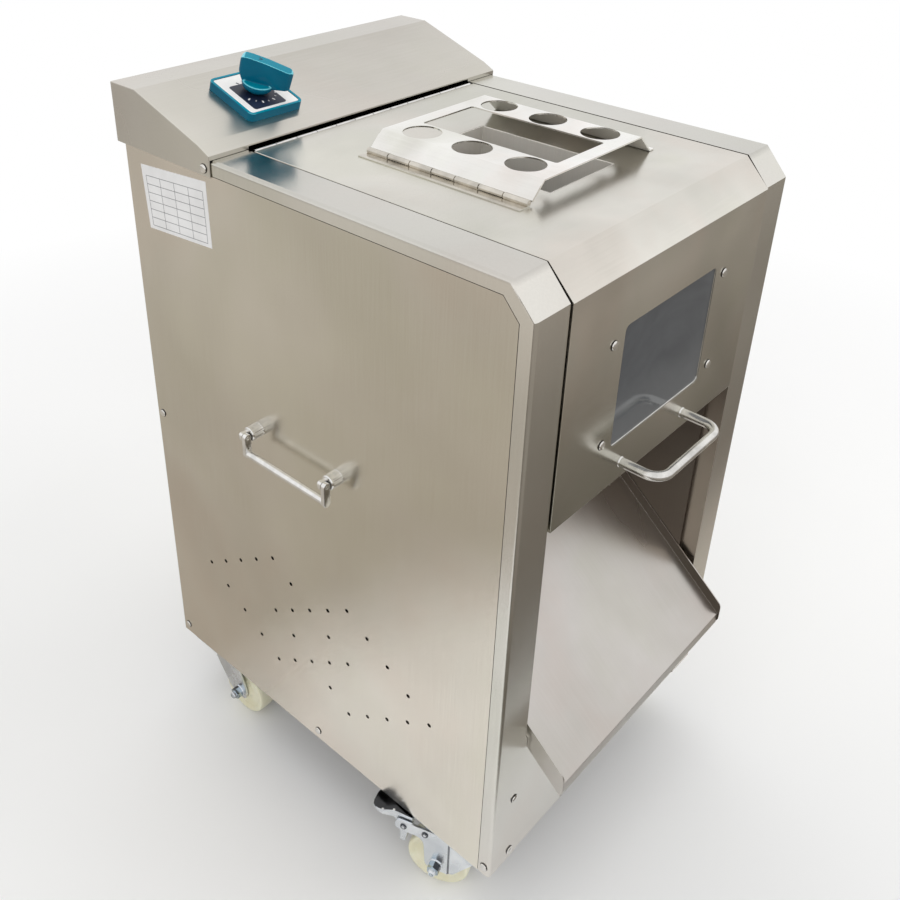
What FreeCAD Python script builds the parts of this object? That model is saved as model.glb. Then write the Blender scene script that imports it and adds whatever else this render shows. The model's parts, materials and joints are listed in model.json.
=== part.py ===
import FreeCAD, Part
import math
import os

from FreeCAD import Vector

# Upright meat slicer in a stainless cabinet on four castors. Millimetres, +Z up.
# The pieces are drawn in the cabinet's frame: X across, Y from the posts' front face to the
# back, Z from the cabinet's lower edge. They are written with the origin on the ground, under
# the middle of the whole machine.

# Cabinet
cabinet_width = 430.0
cabinet_depth = 527.0
cabinet_height = 705.0
sheet = 1.5
plate = 2.0
chamfer_depth = 25.5
chamfer_height = 28.0
frame_face = 45.0
frame_band = 15.0
frame_return = 20.0
frame_corner = 4.0
seam_gap = 0.6
seat_gap = 0.3
fit_gap = 0.2
tray_height = 25.0
rear_flange = 20.0
front_panel_inset = 1.0
front_panel_fold = 18.0

# Flats that stand for round stretches
corner_flats = 3
large_flats = 24
medium_flats = 14
small_flats = 10
tiny_flats = 8
knuckle_flats = 8
screw_flats = 6

# Vents in the left side panel: the edges of two overlapping grids that stand on a corner
vent_hole = 5.0
vent_pitch_y = 30.0
vent_pitch_z = 20.0
vent_cells = 4
vent_offset = 2
vent_centre_y = 270.0
vent_centre_z = 165.0

# Lid, one folded sheet that is also the front door
lid_gap = 2.0
lid_rear_gap = 0.4
lid_proud = 2.0
lid_flange = 14.0
door_length = 258.0
window_width = 162.0
window_height = 128.0
window_rise = 47.0
window_corner = 6.0
pane_overlap = 13.0
pane_side_overlap = 22.0
pane_thickness = 3.0
window_screw_inset = 17.0
window_screw_margin = 12.0

# Handle on the door
handle_bar = 10.0
handle_span = 115.0
handle_reach = 48.0
handle_corner = 15.0
handle_rise = 19.0

# Feed slot with its trunk, and the guard over it
feed_width = 106.0
feed_length = 163.0
feed_front = 106.0
trunk_depth = 68.0
guard_centre_x = 7.5
guard_top_width = 160.0
guard_slope = 20.0
guard_rise = 20.0
guard_front_margin = 6.0
guard_back_margin = 26.0
guard_lip = 7.0
guard_cutout_width = 78.0
guard_cutout_margin = 16.0
guard_hole = 39.0
guard_hole_across = 121.0
guard_hole_pitch = 62.5
guard_hole_count = 3

# Piano hinges of the lid and of the guard
knuckle_radius = 3.0
hinge_pin_radius = 1.4
hinge_running_gap = 0.08
knuckle_gap = 0.9
knuckle_clearance = 0.5
hinge_leaf = 1.2
lid_hinge_drop = 2.8
lid_hinge_margin = 4.0
lid_knuckles = 12
lid_leaf_reach = 24.0
lid_fixed_leaf_reach = 18.0
guard_knuckles = 7
guard_leaf_reach = 14.0
guard_edge_gap = 1.0

# Discharge chute
chute_overhang = 44.0
chute_front_height = 140.0
chute_slope = 39.5
chute_wing = 12.0
chute_wing_drop = 11.5
chute_wing_nose = 2.0
chute_wing_round = 12.0
chute_wing_toe = 4.0
chute_lip = 14.0

# Cutting chamber
wall_inset = 5.0
wall_flange = 25.0
wall_skirt = 30.0
bulkhead_y = 300.0
bulkhead_skirt = 40.0
shelf_drop = 21.0
hood_length = 142.5
hinge_to_hood = 5.0

# Blade shafts, their bearings and the stripper combs
shaft_spacing = 68.0
shaft_depth = 111.0
journal_radius = 10.0
journal_clearance = 0.05
hex_across = 24.0
hex_clearance = 0.1
spacer_across = 34.0
spacer_end_gap = 2.0
blade_radius = 38.0
blade_flats = 16
blade_thickness = 2.0
blade_pitch = 24.0
blade_count = 7
blade_inset = 9.0
comb_bar = 4.0
comb_gap = 5.0
comb_finger = 6.0
comb_height = 52.0
comb_tip_gap = 1.5
comb_tip_height = 18.0
bearing_plate_inset = 21.0
bearing_plate_thickness = 4.0
bearing_plate_height = 115.0
bearing_ear = 12.0
bearing_side = 46.0
bearing_clip = 8.0
bearing_thickness = 12.0
bearing_opening = 15.0
journal_end = 2.0

# Gears, belt and motor
gear_teeth = 16
gear_width = 18.0
gear_gap = 10.0
gear_backlash = 0.6
gear_addendum = 0.9
gear_dedendum = 1.25
tooth_tip_share = 0.26
tooth_root_share = 0.74
pulley_gap = 30.0
pulley_width = 20.0
driven_pulley_radius = 56.0
motor_pulley_radius = 28.0
groove_depth = 9.0
groove_top = 12.0
groove_bottom = 7.2
belt_width = 6.4
belt_thickness = 6.0
belt_flats = 9
motor_x = 45.0
motor_height = 82.0
motor_radius = 62.0
motor_bell_step = 5.0
motor_bell_length = 22.0
motor_length = 195.0
motor_shaft_radius = 9.0
motor_shaft_reach = 27.0
motor_foot_width = 30.0
motor_foot_rim = 8.0
motor_foot_inset = 40.0
motor_foot_neck = 30.0
terminal_box_side = 60.0
terminal_box_height = 28.0
terminal_box_corner = 5.0

# Control hood and rotary switch
hood_overhang = 11.7
hood_flat = 41.2
hood_shoulder = 15.5
hood_front_rise = 5.0
hood_front_lip = 1.8
hood_shoulder_rise = 12.5
hood_rise = 46.0
hood_skirt = 17.0
hood_side_gap = 0.3
hood_screw_inset = 9.0
switch_side = 70.0
switch_rim = 3.0
switch_height = 9.5
switch_recess = 1.8
switch_corner = 6.0
switch_x = -110.0
switch_up_slope = 44.0
dial_thickness = 1.2
dial_gap = 0.2
switch_hole = 14.0
switch_body_side = 46.0
switch_body_depth = 26.0
knob_neck_radius = 12.0
knob_neck_height = 5.0
knob_hub_radius = 16.5
knob_hub_height = 13.0
knob_nose_reach = 34.0
knob_tail_reach = 21.0
knob_thickness = 12.5
knob_nose = 4.0
knob_height = 37.0
knob_nose_rise = 16.0
knob_tail_rise = 19.0
knob_underside = 9.0
knob_top_chamfer = 1.5
knob_turn = 40.0
spindle_radius = 4.0

# Carrying handles on the sides
side_handle_span = 119.0
side_handle_y = 278.0
side_handle_z = 420.0
post_radius = 8.0
post_edge = 1.0
post_length = 15.0
post_reach = 20.0
tongue_thickness = 3.5
tongue_half_height = 4.5
bail_drop = 20.0
bail_rod_radius = 4.0
link_thickness = 5.0
link_half_width = 4.5
bail_pin_radius = 2.2
bail_pin_head = 4.0
bail_pin_head_height = 3.0

# Castors
castor_height = 100.0
wheel_radius = 37.5
wheel_width = 24.0
wheel_shoulder = 2.0
castor_inset_x = 31.0
front_castor_y = 57.0
rear_castor_inset = 64.0
castor_offset = 28.0
front_left_heading = 19.0
castor_plate_x = 60.0
castor_plate_y = 84.0
castor_plate_thickness = 3.0
race_radius = 22.0
race_height = 6.0
kingpin_radius = 5.0
kingpin_head = 8.0
kingpin_head_height = 2.5
fork_half_width = 17.5
fork_sheet = 2.5
fork_crease_y = 12.0
fork_crease_run = 2.0
fork_crease_step = 1.5
fork_nose_half_width = 15.3
fork_front = 21.0
fork_front_drop = 24.0
fork_back = 22.0
fork_foot = 9.5
fork_foot_front = 20.0
fork_foot_back = 13.0
fork_foot_corner = 8.0
fork_front_corner = 5.0
axle_radius = 4.0
nut_across = 13.0
nut_height = 9.0
bolt_end_radius = 4.5
bolt_end_length = 5.0
bolt_end_round = 2.0
arm_tip_y = 79.0
arm_depth = 16.0
arm_corner = 6.0
arm_root_y = 44.0
arm_root_corner = 10.0
arm_pin_y = 68.5
arm_rivet_y = 42.0
arm_pin_drop = 8.0
rivet_radius = 2.5
rivet_head = 3.6
rivet_head_height = 1.5

# Brake pedal, its side view drawn from the rivet that it turns on
pedal_half_width = 13.5
pedal_sheet = 2.0
pedal_bend = 6.0
pedal_tip_corner = 8.0
pedal_tread = [(-8.0, 13.3), (14.0, 15.0), (28.0, 8.0), (42.0, 8.5)]
pedal_cheek = [(-9.0, 14.0), (-9.0, 2.0), (-5.0, -6.0), (-0.5, -31.0), (5.5, -31.0), (6.0, -4.0),
               (14.0, 5.0), (28.0, 1.0), (36.0, 4.0), (36.0, 9.3), (28.0, 9.0), (14.0, 16.0)]
pedal_cheek_rounds = [0, 0, 0, 0, 0, 5.0, 0, 5.0, 0, 0, 5.0, 5.0]
pedal_shoe = [(-0.5, -31.0), (5.5, -31.0), (5.5, -24.0), (-0.5, -24.0)]

# Fasteners and the cable gland
screw_head_radius = 4.5
screw_head_height = 2.0
screw_inset = 13.0
rear_screw_inset = 9.0
post_screw_inset = 34.0
post_screw_rise = 85.0
panel_screw_height = 356.0
rear_panel_screw_inset = 25.0
gland_x = 130.0
gland_z = 62.0
gland_bore = 5.0
gland_across = 22.0
gland_length = 18.0
gland_collar = 13.0
gland_nut = 5.0
gland_body_radius = 8.0

# Places that follow from the sizes
half = cabinet_width / 2
inside = half - sheet - fit_gap
frame_inner = half - frame_face
slope = math.tan(math.radians(chute_slope))
feed_back = feed_front + feed_length
guard_front = feed_front - guard_front_margin
guard_back = feed_back + guard_back_margin
guard_length = guard_back - guard_front
guard_top = cabinet_height + guard_rise
guard_left = guard_centre_x - guard_top_width / 2
guard_right = guard_centre_x + guard_top_width / 2
guard_hinge_x = guard_left - guard_slope
guard_hinge_z = cabinet_height + seat_gap + knuckle_radius
hood_front = cabinet_depth - hood_length
hood_back = cabinet_depth + hood_overhang
hinge_y = hood_front - hinge_to_hood
hinge_z = cabinet_height - sheet - hinge_leaf + knuckle_radius - lid_hinge_drop
lid_half = frame_inner - lid_gap
lid_hinge_length = 2 * (lid_half - lid_hinge_margin + sheet)
lid_rear = hinge_y - knuckle_radius - lid_rear_gap
door_bottom = cabinet_height - door_length
window_bottom = door_bottom + window_rise
handle_height = door_bottom + handle_rise
wall_inner = frame_inner - wall_inset
chute_half_width = wall_inner - seat_gap
shelf_z = cabinet_height - shelf_drop
bearing_plate_y = feed_front - bearing_plate_inset
shaft_height = cabinet_height - shaft_depth
shaft_x = {"left": -shaft_spacing / 2, "right": shaft_spacing / 2}
hex_front = bearing_plate_y + bearing_plate_thickness + spacer_end_gap
hex_back = bulkhead_y - spacer_end_gap
gear_y = bulkhead_y + plate + bearing_thickness + gear_gap
pulley_y = gear_y + gear_width + pulley_gap
motor_back = pulley_y + pulley_width - motor_shaft_reach
motor_front = motor_back - motor_length
castor_x = half - castor_inset_x
rear_castor_y = cabinet_depth - rear_castor_inset
wheel_axle_z = wheel_radius - castor_height
fork_top = -castor_plate_thickness - race_height - seat_gap
front_reach = -lid_proud - handle_reach
rear_reach = max(hood_back, cabinet_depth + gland_length)
origin_shift = Vector(0, -(front_reach + rear_reach) / 2, castor_height)

PLANES = {
    "yz": (lambda a, b, c: Vector(c, a, b), Vector(1, 0, 0)),
    "xz": (lambda a, b, c: Vector(a, c, b), Vector(0, 1, 0)),
    "xy": (lambda a, b, c: Vector(a, b, c), Vector(0, 0, 1)),
}


def box(x0, x1, y0, y1, z0, z1):
    return Part.makeBox(x1 - x0, y1 - y0, z1 - z0, Vector(x0, y0, z0))


def rod(radius, start, end):
    """A round bar from one point to another."""
    line = end - start
    return Part.makeCylinder(radius, line.Length, start, line)


def fused(shapes):
    return shapes[0].multiFuse(shapes[1:]).removeSplitter()


def compound(shapes):
    return Part.makeCompound(shapes)


def flat_face(corners):
    return Part.Face(Part.makePolygon(corners + corners[:1]))


def rounded(points, radii):
    """The corners of a path as points, each rounded corner as a few short flats."""
    result = []
    for index, corner in enumerate(points):
        if radii[index] <= 0:
            result.append(corner)
            continue
        u = (points[index - 1] - corner).normalize()
        v = (points[(index + 1) % len(points)] - corner).normalize()
        half_angle = u.getAngle(v) / 2
        centre = corner + (u + v).normalize() * (radii[index] / math.sin(half_angle))
        start = corner + u * (radii[index] / math.tan(half_angle)) - centre
        axis = u.cross(v)
        for flat in range(corner_flats + 1):
            turn = (math.pi - 2 * half_angle) * flat / corner_flats
            result.append(centre + FreeCAD.Rotation(axis, -math.degrees(turn)).multVec(start))
    return result


def prism(points, plane, low, high, radii=None):
    """The outline in a named plane, extruded between two levels along the third axis."""
    place, axis = PLANES[plane]
    corners = [place(a, b, low) for a, b in points]
    if radii:
        corners = rounded(corners, radii)
    return flat_face(corners).extrude(axis * (high - low))


def offset_path(path, distance):
    """The open path moved sideways to its left, with mitred corners."""
    moved = []
    for index, (a, b) in enumerate(path):
        normals = []
        for start, end in ((index - 1, index), (index, index + 1)):
            if start < 0 or end >= len(path):
                continue
            run_a = path[end][0] - path[start][0]
            run_b = path[end][1] - path[start][1]
            length = math.hypot(run_a, run_b)
            normals.append((-run_b / length, run_a / length))
        sum_a = sum(n[0] for n in normals)
        sum_b = sum(n[1] for n in normals)
        scale = len(normals) / (sum_a * sum_a + sum_b * sum_b)
        moved.append((a + distance * sum_a * scale, b + distance * sum_b * scale))
    return moved


def folded_sheet(path, thickness, plane, low, high):
    """A folded sheet: the path is one face, the thickness lies to its left."""
    return prism(list(path) + offset_path(path, thickness)[::-1], plane, low, high)


def ring(centre, direction, radius, sides):
    """Corners of a regular polygon round an axis, with a flat on top."""
    axis = Vector(direction).normalize()
    side = Vector(0, 0, 1) if abs(axis.z) < 0.9 else Vector(1, 0, 0)
    u = axis.cross(side).normalize()
    v = axis.cross(u)
    angles = [2 * math.pi * (k + 0.5) / sides for k in range(sides)]
    return [centre + u * (radius * math.cos(a)) + v * (radius * math.sin(a)) for a in angles]


def bar(radius, sides, start, end):
    """A straight many-sided bar with its corners at the radius."""
    return flat_face(ring(start, end - start, radius, sides)).extrude(end - start)


def bore(radius, sides, start, end):
    """A many-sided bar to cut with, its flats at the radius."""
    return bar(radius / math.cos(math.pi / sides), sides, start, end)


def hexagon(across, start, end):
    return bore(across / 2, 6, start, end)


def skinned(rings):
    """A solid through rings of points, with flat faces between them."""
    faces = [flat_face(rings[0][::-1]), flat_face(rings[-1])]
    for first, second in zip(rings[:-1], rings[1:]):
        for k in range(len(first)):
            m = (k + 1) % len(first)
            faces.append(flat_face([first[k], first[m], second[m], second[k]]))
    return Part.Solid(Part.Shell(faces))


def turned(profile, sides, foot, direction):
    """A turned piece with flats round it: the profile lists distance and radius."""
    axis = Vector(direction).normalize()
    return skinned([ring(foot + axis * along, axis, radius, sides) for along, radius in profile])


def bent_bar(points, radius, sides, corner):
    """A bar along a flat path, each bend as a few mitred runs."""
    path = rounded(points, [0.0] + [corner] * (len(points) - 2) + [0.0])
    rings = [ring(path[0], path[1] - path[0], radius, sides)]
    for index in range(1, len(path)):
        run = (path[index] - path[index - 1]).normalize()
        mitre = run
        if index + 1 < len(path):
            mitre = run + (path[index + 1] - path[index]).normalize()
        moved = []
        for spot in rings[-1]:
            moved.append(spot + run * ((path[index] - spot).dot(mitre) / run.dot(mitre)))
        rings.append(moved)
    return skinned(rings)


def mirrored(shape):
    return shape.mirror(Vector(0, 0, 0), Vector(1, 0, 0))


def cabinet_edge():
    """The cabinet's side view: up the front, over the chamfer and back along the top."""
    return [(0.0, 0.0), (0.0, cabinet_height - chamfer_height),
            (chamfer_depth, cabinet_height), (cabinet_depth - sheet, cabinet_height)]


def edge_strip(width, x0, x1):
    """A band that follows the cabinet's edge, as wide as given and between two planes."""
    return folded_sheet(cabinet_edge(), -width, "yz", x0, x1)


def front_frame():
    """Left post, chamfer and top strip: one folded channel with a rounded outer edge."""
    face = edge_strip(sheet, -half, -frame_inner)
    band = edge_strip(frame_band, -half, -half + sheet)
    back = edge_strip(frame_return, -frame_inner - sheet, -frame_inner)
    notch = box(-frame_inner - 2 * sheet, -frame_inner + sheet, sheet, cabinet_depth,
                0, tray_height + seat_gap)
    channel = fused([face, band, back.cut(notch)])
    outer = []
    for edge in channel.Edges:
        ends = [vertex.Point for vertex in edge.Vertexes]
        on_side = all(abs(end.x + half) < 1e-6 for end in ends)
        on_path = all(any(math.hypot(end.y - a, end.z - b) < 1e-6 for a, b in cabinet_edge()) for end in ends)
        if on_side and on_path:
            outer.append(edge)
    return channel.makeFillet(frame_corner, outer)


def vent_spots():
    """Centres of the vents as (y, z)."""
    cells = set()
    for start in (0, vent_offset):
        for i in range(vent_cells + 1):
            for j in range(vent_cells + 1):
                if i in (0, vent_cells) or j in (0, vent_cells):
                    cells.add((start + i, start + j))
    middle = vent_cells + vent_offset
    return [(vent_centre_y - (i + j - middle) * vent_pitch_y, vent_centre_z + (i - j) * vent_pitch_z)
            for i, j in sorted(cells)]


def side_panel():
    """Flat sheet between the frame's band and the back, cut to the chamfer's line."""
    seam = offset_path(cabinet_edge(), -(frame_band + seam_gap))
    points = [(seam[0][0], 0.0), seam[1], seam[2],
              (cabinet_depth, seam[2][1]), (cabinet_depth, 0.0)]
    return prism(points, "yz", -half, -half + sheet)


def vented_panel():
    holes = [bore(vent_hole / 2, tiny_flats, Vector(-half - sheet, y, z), Vector(-half + 2 * sheet, y, z))
             for y, z in vent_spots()]
    return side_panel().cut(compound(holes))


def rear_panel():
    """Back sheet with a forward flange at each side, and a hole for the cable gland."""
    y = cabinet_depth
    path = [(-inside, y - rear_flange), (-inside, y), (inside, y), (inside, y - rear_flange)]
    low = tray_height + seat_gap
    folded = folded_sheet(path, -sheet, "xy", low, cabinet_height - sheet - fit_gap)
    foot = box(-inside, inside, y - sheet, y, 0, low)
    hole = bore(gland_body_radius + fit_gap, small_flats, Vector(gland_x, y - rear_flange, gland_z),
                Vector(gland_x, y + sheet, gland_z))
    return fused([folded, foot]).cut(hole)


def base_tray():
    """Floor of the cabinet with its four edges turned up."""
    front = front_panel_inset + sheet
    back = cabinet_depth - sheet - fit_gap
    outer = box(-inside, inside, front, back, 0, tray_height)
    hollow = box(-inside + plate, inside - plate, front + plate, back - plate, plate, tray_height + plate)
    return outer.cut(hollow)


def chute_line(y):
    """Height of the chute's upper face above the cabinet's lower edge."""
    return chute_front_height + (y + chute_overhang) * slope


def lower_front_panel():
    """Sheet below the chute, its top edge folded back under the chute's floor."""
    y = front_panel_inset
    wide = frame_inner - fit_gap
    fold_z = chute_line(y) - (sheet + seat_gap) / math.cos(math.radians(chute_slope))
    path = [(y, 0.0), (y, fold_z), (y + front_panel_fold, fold_z + front_panel_fold * slope)]
    return folded_sheet(path, -sheet, "yz", -wide, wide)


def discharge_chute():
    """Sloping floor with a turned-down lip, and along each side a low wing with a round nose."""
    wide = chute_half_width
    front = -chute_overhang
    nose = front - chute_wing_nose
    mouth = front_panel_inset - seat_gap
    back = bulkhead_y - seat_gap
    rise = 1 / math.cos(math.radians(chute_slope))
    path = [(back, chute_line(back)), (front, chute_line(front)), (front, chute_line(front) - chute_lip)]
    floor = folded_sheet(path, sheet, "yz", -wide, wide)
    wing = [(nose, chute_line(nose) - chute_wing_drop * rise), (nose, chute_line(nose) + chute_wing * rise),
            (back, chute_line(back) + chute_wing * rise), (back, chute_line(back) - sheet * rise),
            (mouth, chute_line(mouth) - sheet * rise), (mouth, chute_line(mouth) - chute_wing_drop * rise)]
    wings = [prism(wing, "yz", x, x + sheet, [chute_wing_toe, chute_wing_round, 0, 0, 0, 0])
             for x in (-wide, wide - sheet)]
    behind = box(-half, half, back, cabinet_depth, 0, cabinet_height)
    return fused([floor] + wings).cut(behind)


def chamber_wall():
    """Left wall of the chamber, with a flange behind the post's return."""
    front = frame_return
    top = shelf_z - plate - seat_gap
    points = [(front, chute_line(front) - wall_skirt), (bulkhead_y, chute_line(bulkhead_y) - wall_skirt),
              (bulkhead_y, top), (front, top)]
    wall = prism(points, "yz", -wall_inner - sheet, -wall_inner)
    flange = box(-wall_inner - wall_flange, -wall_inner, front, front + sheet,
                 chute_line(front) - wall_skirt, cabinet_height - chamfer_height - frame_return / 2)
    return fused([wall, flange])


def shaft_openings(y0, y1):
    return compound([bore(bearing_opening, medium_flats, Vector(x, y0, shaft_height),
                          Vector(x, y1, shaft_height)) for x in shaft_x.values()])


def bulkhead():
    """Wall between chamber and drive, folded into a shelf and up to the lid's hinge."""
    lip = hinge_y + knuckle_radius
    path = [(bulkhead_y, chute_line(bulkhead_y) - bulkhead_skirt), (bulkhead_y, shelf_z),
            (lip + plate, shelf_z)]
    wall = folded_sheet(path, -plate, "yz", -inside, inside)
    upright = box(-lid_hinge_length / 2, lid_hinge_length / 2, lip, lip + plate, shelf_z - plate, hinge_z)
    return fused([wall, upright]).cut(shaft_openings(bulkhead_y - plate, bulkhead_y + 2 * plate))


def front_bearing_plate():
    """Cross plate between the chamber walls that carries the shafts' front bearings."""
    wide = wall_inner - fit_gap
    low = shaft_height - bearing_plate_height / 2
    high = low + bearing_plate_height
    y0 = bearing_plate_y
    y1 = y0 + bearing_plate_thickness
    slab = box(-wide, wide, y0, y1, low, high)
    ears = [box(x, x + plate, y0 - bearing_ear, y0, low, high) for x in (-wide, wide - plate)]
    return fused([slab] + ears).cut(shaft_openings(y0 - plate, y1 + plate))


def bearing(x, y0):
    """Square flanged bearing unit with clipped corners."""
    s = bearing_side / 2
    c = s - bearing_clip
    z = shaft_height
    points = [(x - s, z - c), (x - c, z - s), (x + c, z - s), (x + s, z - c),
              (x + s, z + c), (x + c, z + s), (x - c, z + s), (x - s, z + c)]
    block = prism(points, "xz", y0, y0 + bearing_thickness)
    hole = bore(journal_radius + journal_clearance, medium_flats, Vector(x, y0 - sheet, z),
                Vector(x, y0 + bearing_thickness + sheet, z))
    return block.cut(hole)


def shaft_bearings():
    """Two bearings in front of the cross plate and two behind the bulkhead."""
    rows = (bearing_plate_y - bearing_thickness, bulkhead_y + plate)
    return compound([bearing(x, y) for x in shaft_x.values() for y in rows])


def shaft_point(side, y):
    return Vector(shaft_x[side], y, shaft_height)


def blade_shaft(side):
    """Hexagon bar with a round journal at each end."""
    start = bearing_plate_y - bearing_thickness - journal_end
    end = (pulley_y + pulley_width if side == "left" else gear_y + gear_width) + journal_end
    front = bar(journal_radius, medium_flats, shaft_point(side, start), shaft_point(side, hex_front))
    middle = hexagon(hex_across, shaft_point(side, hex_front), shaft_point(side, hex_back))
    back = bar(journal_radius, medium_flats, shaft_point(side, hex_back), shaft_point(side, end))
    return fused([front, middle, back])


def blade_places(side):
    """Middle of each blade along the shaft; the right shaft's lie between the left's."""
    first = feed_front + blade_inset
    if side == "left":
        return [first + blade_pitch * index for index in range(blade_count)]
    return [first + blade_pitch * (index + 0.5) for index in range(blade_count - 1)]


def hex_bore(side, y0, y1):
    return hexagon(hex_across + hex_clearance, shaft_point(side, y0 - sheet), shaft_point(side, y1 + sheet))


def blades(side):
    """Round slicing blades on the hexagon."""
    discs = []
    for middle in blade_places(side):
        y0 = middle - blade_thickness / 2
        y1 = middle + blade_thickness / 2
        disc = bar(blade_radius, blade_flats, shaft_point(side, y0), shaft_point(side, y1))
        discs.append(disc.cut(hex_bore(side, y0, y1)))
    return compound(discs)


def spacers(side):
    """Hexagon sleeves that keep the blades apart and fill the shaft's ends."""
    edges = [hex_front + spacer_end_gap]
    for middle in blade_places(side):
        edges += [middle - blade_thickness / 2, middle + blade_thickness / 2]
    edges.append(hex_back - spacer_end_gap)
    sleeves = []
    for y0, y1 in zip(edges[0::2], edges[1::2]):
        sleeve = hexagon(spacer_across, shaft_point(side, y0), shaft_point(side, y1))
        sleeves.append(sleeve.cut(hex_bore(side, y0, y1)))
    return compound(sleeves)


def comb(side):
    """Bar from the front plate to the bulkhead, with a stripper finger in each blade gap."""
    sign = -1.0 if side == "left" else 1.0
    near = shaft_spacing / 2 + blade_radius + comb_gap
    far = near + comb_bar
    low = shaft_height - comb_height / 2
    high = low + comb_height
    ends = sorted((sign * near, sign * far))
    pieces = [box(ends[0], ends[1], bearing_plate_y + bearing_plate_thickness, bulkhead_y, low, high)]
    tip = shaft_spacing / 2 + spacer_across / math.sqrt(3) + comb_tip_gap
    tip_low = shaft_height - comb_tip_height / 2
    outline = [(sign * near, low), (sign * tip, tip_low),
               (sign * tip, tip_low + comb_tip_height), (sign * near, high)]
    places = blade_places(side)
    for first, second in zip(places[:-1], places[1:]):
        middle = (first + second) / 2
        pieces.append(prism(outline, "xz", middle - comb_finger / 2, middle + comb_finger / 2))
    return fused(pieces)


def gear(side):
    """Spur gear; the right one is turned half a tooth so that the pair is in mesh."""
    x = shaft_x[side]
    pitch_radius = shaft_spacing / 2
    module = 2 * pitch_radius / gear_teeth
    tip = pitch_radius + gear_addendum * module
    root = pitch_radius - gear_dedendum * module
    step = 2 * math.pi / gear_teeth
    thickness = step / 2 - gear_backlash / pitch_radius
    start = 0.0 if side == "left" else step / 2
    corners = ((root, -tooth_root_share), (tip, -tooth_tip_share),
               (tip, tooth_tip_share), (root, tooth_root_share))
    points = []
    for tooth in range(gear_teeth):
        for radius, share in corners:
            angle = start + tooth * step + share * thickness
            points.append((x + radius * math.cos(angle), shaft_height + radius * math.sin(angle)))
    blank = prism(points, "xz", gear_y, gear_y + gear_width)
    hole = bore(journal_radius, medium_flats, shaft_point(side, gear_y - sheet),
                shaft_point(side, gear_y + gear_width + sheet))
    return blank.cut(hole)


def pulley_profile(radius):
    """Distance and radius along a pulley with one tapered groove."""
    middle = pulley_width / 2
    return [(0, radius), (middle - groove_top / 2, radius),
            (middle - groove_bottom / 2, radius - groove_depth),
            (middle + groove_bottom / 2, radius - groove_depth),
            (middle + groove_top / 2, radius), (pulley_width, radius)]


def driven_pulley():
    wheel = turned(pulley_profile(driven_pulley_radius), large_flats, shaft_point("left", pulley_y),
                   Vector(0, 1, 0))
    hole = bore(journal_radius, medium_flats, shaft_point("left", pulley_y - sheet),
                shaft_point("left", pulley_y + pulley_width + sheet))
    return wheel.cut(hole)


def motor_pulley():
    """Pulley with the motor's shaft in it, turned as one piece."""
    gap = pulley_y - motor_back
    stub = [(seat_gap, motor_shaft_radius), (gap, motor_shaft_radius)]
    rim = [(gap + along, radius) for along, radius in pulley_profile(motor_pulley_radius)]
    return turned(stub + rim, medium_flats, Vector(motor_x, motor_back, motor_height), Vector(0, 1, 0))


def belt_loop(distance):
    """Corners of the loop round both pulleys at a distance outside their grooves."""
    low = Vector(motor_x, 0, motor_height)
    high = shaft_point("left", 0)
    line = high - low
    lean = math.atan2(line.z, line.x)
    r_low = motor_pulley_radius - groove_depth + distance
    r_high = driven_pulley_radius - groove_depth + distance
    spread = math.acos((r_low - r_high) / line.Length)
    corners = []
    for centre, radius, start, sweep in ((low, r_low, lean + spread, 2 * (math.pi - spread)),
                                         (high, r_high, lean - spread, 2 * spread)):
        for k in range(belt_flats + 1):
            angle = start + sweep * k / belt_flats
            corners.append((centre.x + radius * math.cos(angle), centre.z + radius * math.sin(angle)))
    return corners


def drive_belt():
    y0 = pulley_y + (pulley_width - belt_width) / 2
    slack = (driven_pulley_radius - groove_depth) * (1 / math.cos(math.pi / belt_flats / 2) - 1)
    outer = prism(belt_loop(slack + seat_gap + belt_thickness), "xz", y0, y0 + belt_width)
    return outer.cut(prism(belt_loop(slack + seat_gap), "xz", y0 - sheet, y0 + belt_width + sheet))


def motor():
    """Motor with end bells, two feet on the tray and a terminal box on top."""
    step = motor_bell_length
    profile = [(0, motor_radius - motor_bell_step), (step, motor_radius - motor_bell_step),
               (step, motor_radius), (motor_length - step, motor_radius),
               (motor_length - step, motor_radius - motor_bell_step),
               (motor_length, motor_radius - motor_bell_step)]
    shell = turned(profile, medium_flats, Vector(motor_x, motor_front, motor_height), Vector(0, 1, 0))
    neck = motor_height - motor_foot_neck
    foot = [(motor_x - motor_radius, plate), (motor_x + motor_radius, plate),
            (motor_x + motor_radius, plate + motor_foot_rim), (motor_x + motor_foot_neck, neck),
            (motor_x - motor_foot_neck, neck), (motor_x - motor_radius, plate + motor_foot_rim)]
    feet = [prism(foot, "xz", y, y + motor_foot_width)
            for y in (motor_front + motor_foot_inset, motor_back - motor_foot_inset - motor_foot_width)]
    s = terminal_box_side / 2
    y = (motor_front + motor_back) / 2
    corners = [(motor_x - s, y - s), (motor_x + s, y - s), (motor_x + s, y + s), (motor_x - s, y + s)]
    cover = prism(corners, "xy", motor_height, motor_height + motor_radius + terminal_box_height,
                  [terminal_box_corner] * 4)
    return fused([shell, cover] + feet)


def lid_path():
    """The lid's side view: up the door, over the chamfer and back to the hinge."""
    return [(-lid_proud, door_bottom), (-lid_proud, cabinet_height - chamfer_height),
            (chamfer_depth, cabinet_height), (lid_rear, cabinet_height)]


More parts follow.
